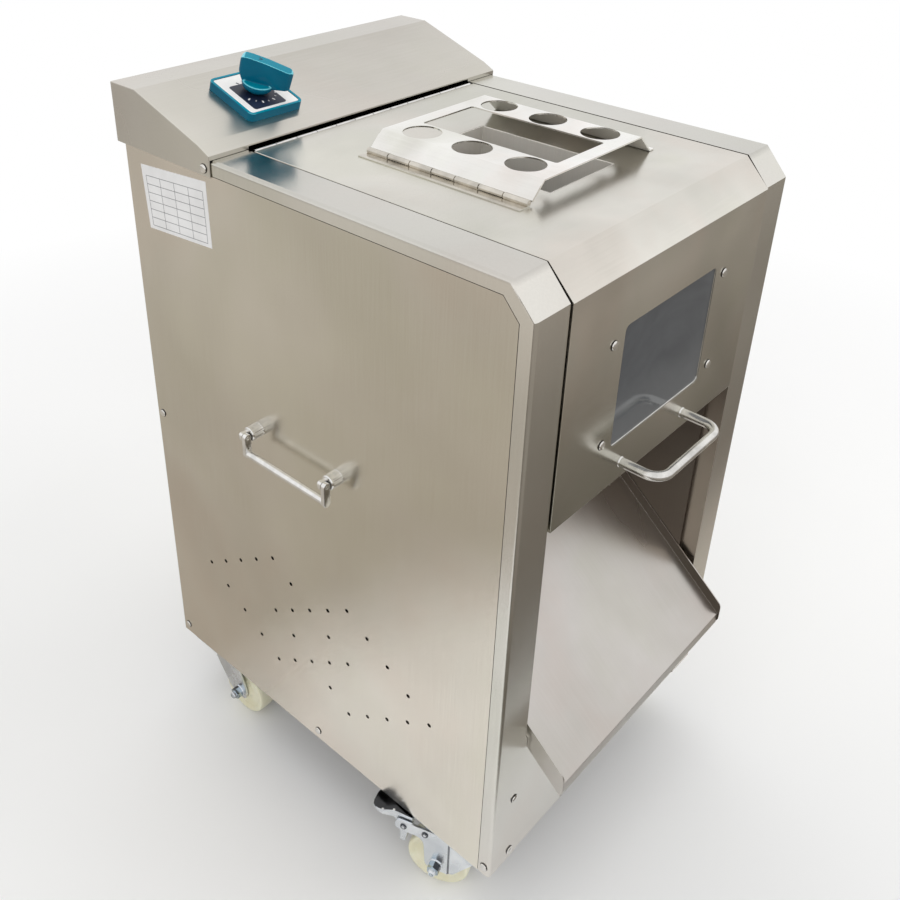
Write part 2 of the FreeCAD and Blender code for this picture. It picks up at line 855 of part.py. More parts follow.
def lid():
    """Top, chamfer and door from one sheet with turned-in edges; slot and window cut out."""
    block = folded_sheet(lid_path(), -lid_flange, "yz", -lid_half, lid_half)
    inner = offset_path(lid_path(), -sheet)
    deep = offset_path(lid_path(), -2 * lid_flange)
    inner[0] = (inner[0][0], door_bottom + sheet)
    deep[0] = (deep[0][0], door_bottom + sheet)
    inner[-1] = (hinge_y, inner[-1][1])
    deep[-1] = (hinge_y, deep[-1][1])
    hollow = prism(inner + deep[::-1], "yz", -lid_half + sheet, lid_half - sheet)
    x = feed_width / 2
    slot = box(-x, x, feed_front, feed_back, cabinet_height - 2 * sheet, cabinet_height + sheet)
    w = window_width / 2
    top = window_bottom + window_height
    window = prism([(-w, window_bottom), (w, window_bottom), (w, top), (-w, top)], "xz",
                   -lid_proud - sheet, -lid_proud + 2 * sheet, [window_corner] * 4)
    return block.cut(compound([hollow, slot, window]))


def window_pane():
    """Clear sheet behind the door's cut-out."""
    w = window_width / 2 + pane_side_overlap
    y = -lid_proud + sheet
    return box(-w, w, y, y + pane_thickness, window_bottom - pane_overlap,
               window_bottom + window_height + pane_overlap)


def screw_head(foot, direction):
    return bar(screw_head_radius, screw_flats, foot, foot + direction * screw_head_height)


def window_screws():
    """Heads of the four screws that hold the pane."""
    x = window_width / 2 + window_screw_inset
    low = window_bottom + window_screw_margin
    high = window_bottom + window_height - window_screw_margin
    return compound([screw_head(Vector(side * x, -lid_proud, z), Vector(0, -1, 0))
                     for side in (-1, 1) for z in (low, high)])


def lid_handle():
    """U-shaped round bar welded to the door below the window."""
    x = handle_span / 2
    y = -lid_proud - handle_reach + handle_bar / 2
    points = [Vector(-x, -lid_proud, handle_height), Vector(-x, y, handle_height),
              Vector(x, y, handle_height), Vector(x, -lid_proud, handle_height)]
    return bent_bar(points, handle_bar / 2, small_flats, handle_corner)


def feed_trunk():
    """Open sheet box welded into the lid's slot, down to the blades."""
    x = feed_width / 2
    low = cabinet_height - trunk_depth
    outer = box(-x, x, feed_front, feed_back, low, cabinet_height)
    return outer.cut(box(-x + sheet, x - sheet, feed_front + sheet, feed_back - sheet,
                         low - sheet, cabinet_height + sheet))


def guard():
    """Hat-shaped cover over the slot: cut-out, six holes, a lip at the free side."""
    seat = cabinet_height + seat_gap + sheet
    edge = knuckle_radius + guard_edge_gap
    path = [(guard_right + guard_slope + guard_lip, seat), (guard_right + guard_slope, seat),
            (guard_right, guard_top), (guard_left, guard_top),
            (guard_hinge_x + edge, guard_top - guard_slope + edge)]
    hat = folded_sheet(path, sheet, "xz", guard_front, guard_back)
    cut_x = guard_cutout_width / 2
    low = guard_top - 2 * sheet
    high = guard_top + sheet
    cuts = [box(guard_centre_x - cut_x, guard_centre_x + cut_x, guard_front + guard_cutout_margin,
                guard_back - guard_cutout_margin, low, high)]
    for side in (-0.5, 0.5):
        for index in range(guard_hole_count):
            x = guard_centre_x + side * guard_hole_across
            y = (guard_front + guard_back) / 2 + (index - (guard_hole_count - 1) / 2) * guard_hole_pitch
            cuts.append(bore(guard_hole / 2, medium_flats, Vector(x, y, low), Vector(x, y, high)))
    return hat.cut(compound(cuts))


def hinge_half(length, count, first, place, leaf):
    """A leaf with every other knuckle of the row, cut free of the other leaf's knuckles."""
    pitch = length / count
    start = -length / 2
    tubes = []
    gaps = []
    for index in range(count):
        if index % 2 == first:
            tubes.append(bar(knuckle_radius, knuckle_flats, place(start + index * pitch + knuckle_gap / 2),
                             place(start + (index + 1) * pitch - knuckle_gap / 2)))
        else:
            gaps.append(bore(knuckle_radius + knuckle_clearance, knuckle_flats,
                             place(start + index * pitch - knuckle_gap / 2),
                             place(start + (index + 1) * pitch + knuckle_gap / 2)))
    return fused([leaf] + tubes).cut(compound(gaps))


def hinge_pin(length, place):
    return bar(hinge_pin_radius, tiny_flats, place(-length / 2), place(length / 2))


def pin_bore(length, place):
    return bore(hinge_pin_radius + hinge_running_gap, tiny_flats, place(-length / 2 - sheet),
                place(length / 2 + sheet))


def lid_hinge_line(t):
    return Vector(t, hinge_y, hinge_z)


def lid_hinge_fixed_leaf():
    """Upright leaf on the bulkhead's lip, with the hinge's pin held in its knuckles."""
    x = lid_hinge_length / 2
    y1 = hinge_y + knuckle_radius
    leaf = box(-x, x, y1 - hinge_leaf, y1, hinge_z - lid_fixed_leaf_reach, hinge_z)
    half_hinge = hinge_half(lid_hinge_length, lid_knuckles, 1, lid_hinge_line, leaf)
    return fused([half_hinge, hinge_pin(lid_hinge_length, lid_hinge_line)])


def lid_hinge_moving_leaf():
    """Flat leaf under the lid's rear edge."""
    x = lid_hinge_length / 2
    z1 = cabinet_height - sheet
    leaf = box(-x, x, hinge_y - lid_leaf_reach, hinge_y, z1 - hinge_leaf, z1)
    half_hinge = hinge_half(lid_hinge_length, lid_knuckles, 0, lid_hinge_line, leaf)
    return half_hinge.cut(pin_bore(lid_hinge_length, lid_hinge_line))


def guard_hinge_line(t):
    return Vector(guard_hinge_x, (guard_front + guard_back) / 2 + t, guard_hinge_z)


def guard_hinge_fixed_leaf():
    """Flat leaf on the lid, with the hinge's pin held in its knuckles."""
    leaf = box(guard_hinge_x - guard_leaf_reach, guard_hinge_x, guard_front, guard_back,
               cabinet_height, cabinet_height + hinge_leaf)
    half_hinge = hinge_half(guard_length, guard_knuckles, 0, guard_hinge_line, leaf)
    return fused([half_hinge, hinge_pin(guard_length, guard_hinge_line)])


def guard_hinge_moving_leaf():
    """Leaf on the outside of the guard's left slope."""
    foot = (guard_hinge_x + knuckle_radius / 2, guard_top - guard_slope + knuckle_radius / 2)
    head = (foot[0] + guard_leaf_reach, foot[1] + guard_leaf_reach)
    leaf = folded_sheet([foot, head], hinge_leaf, "xz", guard_front, guard_back)
    half_hinge = hinge_half(guard_length, guard_knuckles, 1, guard_hinge_line, leaf)
    return half_hinge.cut(pin_bore(guard_length, guard_hinge_line))


def hood_profile():
    """The control hood's side view, from its front edge over the slope to the back."""
    top = cabinet_height + hood_rise
    return [(hood_front, cabinet_height + seat_gap), (hood_front, cabinet_height + hood_front_rise),
            (hood_front + hood_shoulder, cabinet_height + hood_shoulder_rise),
            (hood_back - hood_flat, top), (hood_back, top), (hood_back, cabinet_height - hood_skirt)]


slope_foot = Vector(switch_x, hood_front + hood_shoulder, cabinet_height + hood_shoulder_rise)
slope_head = Vector(switch_x, hood_back - hood_flat, cabinet_height + hood_rise)
slope_along = (slope_head - slope_foot).normalize()
slope_normal = Vector(0, -slope_along.z, slope_along.y)
switch_foot = slope_foot + slope_along * switch_up_slope


def slope_spot(height):
    return switch_foot + slope_normal * height


def on_slope(solid):
    """A solid drawn flat round the origin, put on the hood's slope at the switch's middle."""
    solid.rotate(Vector(0, 0, 0), Vector(1, 0, 0), math.degrees(math.atan2(slope_along.z, slope_along.y)))
    solid.translate(switch_foot)
    return solid


def slope_prism(points, low, high, radii=None):
    """An outline on the hood's slope round the switch's middle, raised along the normal."""
    return on_slope(prism(points, "xy", low, high, radii))


def square(side):
    s = side / 2
    return [(-s, -s), (s, -s), (s, s), (-s, s)]


def control_hood():
    """Sheet cover at the back of the top, with end plates that lap over the side panels."""
    wide = half + hood_side_gap + sheet
    low = cabinet_height - hood_skirt
    path = hood_profile()
    skin = folded_sheet(path, -sheet, "yz", -wide, wide)
    ends = [prism([(hood_front, low)] + path[1:], "yz", x, x + sheet) for x in (-wide, wide - sheet)]
    rim = box(-wide, wide, cabinet_depth + seat_gap, hood_back, low, low + sheet)
    hole = bore(switch_hole, medium_flats, slope_spot(-2 * sheet), slope_spot(sheet))
    notch = box(-lid_half, lid_half, hood_front - sheet, hood_front + 2 * sheet,
                cabinet_height, cabinet_height + hood_front_rise - hood_front_lip)
    return fused([skin, rim] + ends).cut(compound([hole, notch]))


def switch_frame():
    """Raised square rim of the rotary switch."""
    outer = slope_prism(square(switch_side), 0, switch_height, [switch_corner] * 4)
    recess = slope_prism(square(switch_side - 2 * switch_rim), switch_height - switch_recess,
                         switch_height + sheet)
    hole = bore(switch_hole, medium_flats, slope_spot(-sheet), slope_spot(switch_height))
    return outer.cut(compound([recess, hole]))


def switch_dial():
    """Thin face plate in the rim's recess."""
    low = switch_height - switch_recess
    face = slope_prism(square(switch_side - 2 * switch_rim - 2 * dial_gap), low, low + dial_thickness)
    return face.cut(bore(spindle_radius + sheet, small_flats, slope_spot(0), slope_spot(switch_height)))


def switch_body():
    """Contact block under the hood's slope."""
    return slope_prism(square(switch_body_side), -sheet - switch_body_depth, -sheet)


def knob_paddle(base):
    """The paddle from above, from the side and from its end, as one solid on the slope."""
    t = knob_thickness / 2
    top = base + knob_height
    low = base + knob_underside
    shoulder = knob_nose_reach - knob_nose
    plan = [(-t, -knob_tail_reach), (t, -knob_tail_reach), (t, shoulder), (0, knob_nose_reach),
            (-t, shoulder)]
    side = [(-knob_tail_reach, base + knob_tail_rise), (-knob_neck_radius, low), (knob_neck_radius, low),
            (knob_nose_reach, base + knob_nose_rise), (knob_nose_reach, top), (-knob_tail_reach, top)]
    c = knob_top_chamfer
    end = [(-t, base), (t, base), (t, top - c), (t - c, top), (c - t, top), (-t, top - c)]
    solid = prism(plan, "xy", base, top, [knob_nose, knob_nose, 0, 0, 0])
    solid = solid.common(prism(side, "yz", -knob_thickness, knob_thickness))
    return on_slope(solid.common(prism(end, "xz", -2 * knob_nose_reach, 2 * knob_nose_reach)))


def switch_knob():
    """Round hub on a neck, an upright paddle over it, and the spindle down to the contact block."""
    base = switch_height - switch_recess + dial_thickness + seat_gap
    hub = turned([(0, knob_neck_radius), (knob_neck_height, knob_neck_radius),
                  (knob_neck_height, knob_hub_radius),
                  (knob_hub_height - sheet, knob_hub_radius), (knob_hub_height, knob_hub_radius - sheet)],
                 large_flats, slope_spot(base), slope_normal)
    spindle = bar(spindle_radius, small_flats, slope_spot(seat_gap - sheet), slope_spot(base))
    knob = fused([hub, knob_paddle(base), spindle])
    knob.rotate(switch_foot, slope_normal, 180.0 + knob_turn)
    return knob


def side_post(y):
    """Round post on the left side, with a tongue and a headed pin for the bail's link."""
    foot = Vector(-half, y, side_handle_z)
    profile = [(0, post_radius), (post_length - post_edge, post_radius),
               (post_length, post_radius - post_edge)]
    post = turned(profile, medium_flats, foot, Vector(-1, 0, 0))
    x = -half - post_reach
    tongue = box(x - tongue_half_height, -half - post_length, y, y + tongue_thickness,
                 side_handle_z - tongue_half_height, side_handle_z + tongue_half_height)
    back = y + tongue_thickness
    pin = bar(bail_pin_radius, tiny_flats, Vector(x, y - link_thickness - 2 * seat_gap, side_handle_z),
              Vector(x, back, side_handle_z))
    head = bar(bail_pin_head, tiny_flats, Vector(x, back, side_handle_z),
               Vector(x, back + bail_pin_head_height, side_handle_z))
    return fused([post, tongue, pin, head])


def bail_places():
    return (side_handle_y - side_handle_span / 2, side_handle_y + side_handle_span / 2)


def side_handle_posts():
    left = [side_post(y) for y in bail_places()]
    return compound(left + [mirrored(post) for post in left])


def side_bail():
    """Left bail: a link on each post's pin, and the grip rod between the links."""
    x = -half - post_reach
    low = side_handle_z - bail_drop
    w = link_half_width
    outline = [(x - w, low - w), (x + w, low - w), (x + w, side_handle_z + w), (x - w, side_handle_z + w)]
    links = []
    for y in bail_places():
        y1 = y - seat_gap
        link = prism(outline, "xz", y1 - link_thickness, y1, [w - fit_gap] * 4)
        links.append(link.cut(bore(bail_pin_radius + hinge_running_gap, tiny_flats,
                                   Vector(x, y1 - 2 * link_thickness, side_handle_z),
                                   Vector(x, y1 + link_thickness, side_handle_z))))
    front, back = bail_places()
    grip = bar(bail_rod_radius, small_flats, Vector(x, front - seat_gap - sheet, low),
               Vector(x, back - seat_gap - link_thickness + sheet, low))
    return fused(links + [grip])


def castor_places():
    """Name, swivel centre and heading of each castor; at heading zero its wheel trails to the back."""
    return [("front_left", -castor_x, front_castor_y, front_left_heading),
            ("front_right", castor_x, front_castor_y, 0.0),
            ("rear_left", -castor_x, rear_castor_y, 180.0),
            ("rear_right", castor_x, rear_castor_y, 180.0)]


def placed(shape, x, y, heading):
    """Put a castor's piece, drawn trailing to the back, at its place and heading."""
    shape.rotate(Vector(0, 0, 0), Vector(0, 0, 1), heading)
    shape.translate(Vector(x, y, 0))
    return shape


def castor_plates():
    """Top plate, ball race and kingpin of each castor, bolted under the tray."""
    plates = []
    low = -castor_plate_thickness
    pin_end = fork_top - fork_sheet - seat_gap
    for name, x, y, heading in castor_places():
        a = castor_plate_x / 2
        b = castor_plate_y / 2
        top = box(x - a, x + a, y - b, y + b, low, 0)
        race = bar(race_radius, small_flats, Vector(x, y, low - race_height), Vector(x, y, low))
        pin = turned([(0, kingpin_head), (kingpin_head_height, kingpin_head),
                      (kingpin_head_height, kingpin_radius),
                      (low - pin_end + kingpin_head_height, kingpin_radius)],
                     tiny_flats, Vector(x, y, pin_end - kingpin_head_height), Vector(0, 0, 1))
        plates.append(fused([top, race, pin]))
    return compound(plates)


def cross_pin(radius, sides, y, z, half_length):
    return bar(radius, sides, Vector(-half_length, y, z), Vector(half_length, y, z))


def fork_outline(braked):
    """The fork as seen from the side: its corners, and the radius of each."""
    low = wheel_axle_z - fork_foot
    foot_back = castor_offset + fork_foot_back
    back = [(fork_back, fork_top, 0), (foot_back, wheel_axle_z + fork_foot, fork_foot_corner)]
    if braked:
        arm_low = fork_top - arm_depth
        back = [(arm_tip_y, fork_top, arm_corner), (arm_tip_y, arm_low, arm_corner),
                (arm_root_y, arm_low, arm_root_corner)]
    foot = [(foot_back, low, fork_foot_corner), (castor_offset - fork_foot_front, low, fork_foot_corner)]
    front = [(-fork_front, fork_top - fork_front_drop, fork_front_corner), (-fork_front, fork_top, 0)]
    corners = back + foot + front
    return [(a, b) for a, b, r in corners], [r for a, b, r in corners]


def fork_shell(braked):
    """Pressed fork: two legs with a crease, narrower in front, under a web for the kingpin."""
    w = fork_half_width
    deep = castor_height
    side = [(fork_nose_half_width, -fork_front), (w - fork_crease_step, fork_crease_y),
            (w, fork_crease_y + fork_crease_run), (w, deep)]
    leg = folded_sheet(side, fork_sheet, "xy", -deep, fork_top)
    rim = side[:-1] + [(w, fork_back)]
    web = prism(rim + [(-x, y) for x, y in rim[::-1]], "xy", fork_top - fork_sheet, fork_top)
    outline, radii = fork_outline(braked)
    shell = fused([leg, mirrored(leg), web]).common(prism(outline, "yz", -w - sheet, w + sheet, radii))
    return shell.cut(bore(kingpin_radius + journal_clearance, tiny_flats, Vector(0, 0, -deep),
                          Vector(0, 0, 0)))


def castor_fork(x, y, heading, braked):
    """Fork with its axle bolt and nuts, and on a braked one the rivets of its arms."""
    w = fork_half_width
    pieces = [fork_shell(braked), cross_pin(axle_radius, small_flats, castor_offset, wheel_axle_z, w)]
    for side in (-1, 1):
        out = Vector(side, 0, 0)
        foot = Vector(side * w, castor_offset, wheel_axle_z)
        pieces.append(hexagon(nut_across, foot, foot + out * nut_height))
        dome = [(0, bolt_end_radius), (bolt_end_length - bolt_end_round, bolt_end_radius),
                (bolt_end_length, bolt_end_radius - bolt_end_round)]
        pieces.append(turned(dome, small_flats, foot + out * nut_height, out))
    if braked:
        z = fork_top - arm_pin_drop
        for pin_y in (arm_pin_y, arm_rivet_y):
            pieces.append(cross_pin(rivet_radius, screw_flats, pin_y, z, w))
            for side in (-1, 1):
                pieces.append(bar(rivet_head, screw_flats, Vector(side * w, pin_y, z),
                                  Vector(side * (w + rivet_head_height), pin_y, z)))
    return placed(fused(pieces), x, y, heading)


def castor_wheel(x, y, heading):
    """Nylon wheel with chamfered shoulders and a bore that runs on the axle bolt."""
    a = wheel_width / 2
    tread = wheel_radius / math.cos(math.pi / large_flats)
    profile = [(0, tread - wheel_shoulder), (wheel_shoulder, tread),
               (wheel_width - wheel_shoulder, tread), (wheel_width, tread - wheel_shoulder)]
    wheel = turned(profile, large_flats, Vector(-a, castor_offset, wheel_axle_z), Vector(1, 0, 0))
    hole = bore(axle_radius + journal_clearance, small_flats,
                Vector(-wheel_width, castor_offset, wheel_axle_z),
                Vector(wheel_width, castor_offset, wheel_axle_z))
    return placed(wheel.cut(hole), x, y, heading)


def pedal_points(offsets):
    return [(arm_pin_y + a, fork_top - arm_pin_drop + b) for a, b in offsets]


def brake_pedal(x, y, heading):
    """Foot pedal on the fork's rear rivet: bent tread, two cheeks and the shoe near the wheel."""
    w = pedal_half_width
    path = pedal_points(pedal_tread)
    bends = [0, pedal_bend, pedal_bend, 0]
    tread = prism(path + offset_path(path, -pedal_sheet)[::-1], "yz", -w, w, bends + bends)
    cheeks = [prism(pedal_points(pedal_cheek), "yz", side, side + pedal_sheet, pedal_cheek_rounds)
              for side in (-w, w - pedal_sheet)]
    shoe = prism(pedal_points(pedal_shoe), "yz", -w, w)
    tip = path[-1][0]
    plan = [(-w, 0), (w, 0), (w, tip), (-w, tip)]
    outline = prism(plan, "xy", -castor_height, 0, [0, 0, pedal_tip_corner, pedal_tip_corner])
    z = fork_top - arm_pin_drop
    hole = bore(rivet_radius + hinge_running_gap, tiny_flats, Vector(-2 * w, arm_pin_y, z),
                Vector(2 * w, arm_pin_y, z))
    return placed(fused([tread, shoe] + cheeks).common(outline).cut(hole), x, y, heading)


def panel_screws():
    """Screw heads on the side panels, the posts, the hood and the rear panel."""
    heads = []
    back = cabinet_depth - rear_screw_inset
    for side in (-1, 1):
        out = Vector(side, 0, 0)
        for y, z in ((back, screw_inset), (back, panel_screw_height),
                     (cabinet_depth / 2, screw_inset), (frame_band / 2, screw_inset)):
            heads.append(screw_head(Vector(side * half, y, z), out))
        hood_face = half + hood_side_gap + sheet
        heads.append(screw_head(Vector(side * hood_face, hood_front + hood_screw_inset,
                                       cabinet_height - hood_screw_inset), out))
        for z in (screw_inset, screw_inset + post_screw_rise):
            heads.append(screw_head(Vector(side * (half - post_screw_inset), 0, z), Vector(0, -1, 0)))
        for z in (gland_z, panel_screw_height, cabinet_height - 2 * rear_panel_screw_inset):
            heads.append(screw_head(Vector(side * (half - rear_panel_screw_inset), cabinet_depth, z),
                                    Vector(0, 1, 0)))
    return compound(heads)


def cable_gland():
    """Gland in the rear panel: body, hexagon collar outside and a lock nut inside."""
    def spot(distance):
        return Vector(gland_x, cabinet_depth + distance, gland_z)

    body = bar(gland_body_radius, small_flats, spot(-sheet - gland_nut), spot(gland_length))
    collar = hexagon(gland_across, spot(0), spot(gland_collar))
    nut = hexagon(gland_across, spot(-sheet - gland_nut), spot(-sheet))
    hole = rod(gland_bore, spot(-2 * gland_length), spot(2 * gland_length))
    return fused([body, collar, nut]).cut(hole)


def all_pieces():
    """Every node's name and shape, in the cabinet's frame."""
    frame = front_frame()
    wall = chamber_wall()
    bail = side_bail()
    pieces = {
        "left_front_frame": frame, "right_front_frame": mirrored(frame),
        "left_side_panel": vented_panel(), "right_side_panel": mirrored(side_panel()),
        "rear_panel": rear_panel(), "base_tray": base_tray(),
        "lower_front_panel": lower_front_panel(), "discharge_chute": discharge_chute(),
        "left_chamber_wall": wall, "right_chamber_wall": mirrored(wall),
        "bulkhead": bulkhead(), "front_bearing_plate": front_bearing_plate(),
        "shaft_bearings": shaft_bearings(), "stripper_combs": compound([comb("left"), comb("right")]),
        "driven_pulley": driven_pulley(), "motor_pulley": motor_pulley(),
        "drive_belt": drive_belt(), "motor": motor(),
        "lid": lid(), "window_pane": window_pane(), "window_screws": window_screws(),
        "lid_handle": lid_handle(), "feed_trunk": feed_trunk(),
        "lid_hinge_fixed_leaf": lid_hinge_fixed_leaf(), "lid_hinge_moving_leaf": lid_hinge_moving_leaf(),
        "guard": guard(), "guard_hinge_fixed_leaf": guard_hinge_fixed_leaf(),
        "guard_hinge_moving_leaf": guard_hinge_moving_leaf(),
        "control_hood": control_hood(), "switch_frame": switch_frame(), "switch_dial": switch_dial(),
        "switch_body": switch_body(), "switch_knob": switch_knob(),
        "side_handle_posts": side_handle_posts(),
        "left_side_bail": bail, "right_side_bail": mirrored(bail),
        "castor_plates": castor_plates(), "panel_screws": panel_screws(), "cable_gland": cable_gland(),
    }
    for side in ("left", "right"):
        pieces[side + "_blade_shaft"] = blade_shaft(side)
        pieces[side + "_blades"] = blades(side)
        pieces[side + "_spacers"] = spacers(side)
        pieces[side + "_gear"] = gear(side)
    for name, x, y, heading in castor_places():
        braked = name.startswith("front")
        pieces[name + "_fork"] = castor_fork(x, y, heading, braked)
        pieces[name + "_wheel"] = castor_wheel(x, y, heading)
        if braked:
            pieces[name + "_brake_pedal"] = brake_pedal(x, y, heading)
    return pieces


os.makedirs("parts", exist_ok=True)
for node_name, node_shape in all_pieces().items():
    node_shape.translate(origin_shift)
    node_shape.exportStep("parts/" + node_name + ".step")
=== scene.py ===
import json
import math

import bmesh
import bpy
from mathutils import Matrix, Quaternion, Vector


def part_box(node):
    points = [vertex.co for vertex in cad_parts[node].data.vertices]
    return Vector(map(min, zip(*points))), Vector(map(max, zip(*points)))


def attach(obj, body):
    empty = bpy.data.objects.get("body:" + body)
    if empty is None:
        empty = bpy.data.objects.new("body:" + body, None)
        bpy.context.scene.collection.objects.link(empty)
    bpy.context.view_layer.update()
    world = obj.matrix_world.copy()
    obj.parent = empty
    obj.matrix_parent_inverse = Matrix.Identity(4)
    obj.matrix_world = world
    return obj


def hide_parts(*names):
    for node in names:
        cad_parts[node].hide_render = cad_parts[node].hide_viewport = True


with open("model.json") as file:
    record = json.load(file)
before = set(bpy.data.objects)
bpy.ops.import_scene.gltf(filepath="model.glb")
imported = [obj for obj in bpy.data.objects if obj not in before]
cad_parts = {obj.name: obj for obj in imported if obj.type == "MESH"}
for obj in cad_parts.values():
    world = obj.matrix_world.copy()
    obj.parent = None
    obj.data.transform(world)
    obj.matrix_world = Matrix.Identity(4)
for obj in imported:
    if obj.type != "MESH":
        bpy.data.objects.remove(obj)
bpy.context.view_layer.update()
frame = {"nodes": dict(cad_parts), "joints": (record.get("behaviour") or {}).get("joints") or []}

nodes = frame["nodes"]
joints = {joint["name"]: joint for joint in frame["joints"]}
mm = 0.001
x_axis = Vector((1, 0, 0))
y_axis = Vector((0, 1, 0))
z_axis = Vector((0, 0, 1))
scene = bpy.context.scene

# Sizes of the part, in millimetres, in the cabinet's frame
cabinet_origin = Vector((0.0, -247.5, 100.0))
cabinet_height = 705.0
half = 215.0
sheet = 1.5
frame_band = 15.0
seam_gap = 0.6
chamfer_depth = 25.5
chamfer_height = 28.0
cabinet_depth = 527.0

# Guard over the feed slot: its folded outline seen from the front, and its cuts
guard_front = 100.0
guard_back = 295.0
guard_path = [(114.5, 706.8), (107.5, 706.8), (87.5, 725.0), (-72.5, 725.0), (-88.5, 709.0)]
guard_fold = 1.6
guard_cutout = (-31.5, 46.5, 116.0, 279.0)
guard_cutout_corner = 3.0
guard_hole_radius = 19.5
guard_holes = [(x, y) for x in (-53.0, 68.0) for y in (135.0, 197.5, 260.0)]
guard_cutter_foot = 718.0
guard_cutter_rise = 12.0

# Vents: the edges of two overlapping grids that stand on a corner
vent_radius = 2.5
vent_pitch = (30.0, 20.0)
vent_cells = 4
vent_offset = 2
vent_centre = (270.0, 165.0)

# Door handle and window
handle_bend = 16.5
handle_weld = [(0, 0.7), (0.5, 0.55), (1.1, 0.1), (1.4, -0.1)]
window_half_width = 81.0
window_height = 128.0
window_corner = 6.0
bead_radius = 0.55

# Sticker high on the left side: its corners as (y, z), and its table as shares of its length and height
sticker_corners = [(503.0, 672.0), (395.0, 681.5), (393.0, 611.0), (498.0, 602.0)]
sticker_table = (0.06, 0.94, 0.16, 0.94)
sticker_rows = 6
sticker_columns = 4
sticker_line = (0.0035, 0.0055)

# Where each castor stands, and its heading in degrees
castors = {"front_left": (-184.0, 57.0, 19.0), "front_right": (184.0, 57.0, 0.0),
           "rear_left": (-184.0, 463.0, 180.0), "rear_right": (184.0, 463.0, 180.0)}


def place(x, y, z):
    """A point of the cabinet's frame, in metres in the scene."""
    return (Vector((x, y, z)) + cabinet_origin) * mm


# Materials


def grey(level):
    return (level, level, level)


class Tree:
    """Short calls that fill a node tree."""

    def __init__(self, tree):
        self.tree = tree

    def feed(self, socket, value):
        """Link a node's output to the socket, or set the socket to a plain value."""
        if hasattr(value, "links"):
            self.tree.links.new(value, socket)
        else:
            socket.default_value = value

    def node(self, kind, inputs=None, **settings):
        """A new shader node with its settings, and what feeds its inputs by name or number."""
        made = self.tree.nodes.new("ShaderNode" + kind)
        for key, value in settings.items():
            setattr(made, key, value)
        for key, value in (inputs or {}).items():
            self.feed(made.inputs[key], value)
        return made


class Surface(Tree):
    """A node material round one shader, with short calls for its usual nodes."""

    def __init__(self, name, **values):
        self.material = bpy.data.materials.new(name)
        self.material.use_nodes = True
        super().__init__(self.material.node_tree)
        self.shader = self.tree.nodes["Principled BSDF"]
        self.coordinates = self.node("TexCoord").outputs["Object"]
        self.give(**values)

    def give(self, **values):
        """Feed the shader's inputs by name, with an underscore for a space."""
        for key, value in values.items():
            self.feed(self.shader.inputs[key.replace("_", " ")], value)

    def mapped(self, **values):
        """Object coordinates, moved or scaled."""
        return self.node("Mapping", {"Vector": self.coordinates, **values}).outputs["Vector"]

    def noise(self, scale, detail=4.0, roughness=0.55, stretch=(1, 1, 1), distortion=0.0):
        inputs = {"Vector": self.mapped(Scale=stretch), "Scale": scale, "Detail": detail,
                  "Roughness": roughness, "Distortion": distortion}
        return self.node("TexNoise", inputs).outputs["Fac"]

    def ramp(self, value, stops):
        made = self.node("ValToRGB", {"Fac": value})
        ramp = made.color_ramp
        while len(ramp.elements) < len(stops):
            ramp.elements.new(0.5)
        for element, (position, colour) in zip(ramp.elements, stops):
            element.position = position
            element.color = (*colour, 1.0)
        return made.outputs["Color"]

    def measured(self, operation, *others):
        """A number that a vector operation makes of the object coordinates."""
        inputs = dict(enumerate((self.coordinates, *others)))
        return self.node("VectorMath", inputs, operation=operation).outputs["Value"]

    def height(self, start, end, lean=0.0):
        """Share of the way up between two heights in metres, which lean up or down towards the back."""
        return self.between(self.measured("DOT_PRODUCT", (0.0, lean, 1.0)), 0.0, 1.0, start, end)

    def between(self, value, low, high, start=0.3, end=0.7):
        inputs = {"Value": value, "From Min": start, "From Max": end, "To Min": low, "To Max": high}
        return self.node("MapRange", inputs).outputs["Result"]

    def mixed(self, factor, first, second, blend="MIX"):
        inputs = {0: factor, 6: first, 7: second}
        return self.node("Mix", inputs, data_type="RGBA", blend_type=blend).outputs[2]

    def bump(self, height, strength, distance=0.0002):
        made = self.node("Bump", {"Height": height, "Strength": strength, "Distance": distance})
        self.give(Normal=made.outputs["Normal"])

    def shaded(self, share, first, second):
        """Show a mix of two shaders."""
        both = self.node("MixShader", {0: share, 1: first.outputs[0], 2: second.outputs[0]})
        self.feed(self.tree.nodes["Material Output"].inputs["Surface"], both.outputs[0])


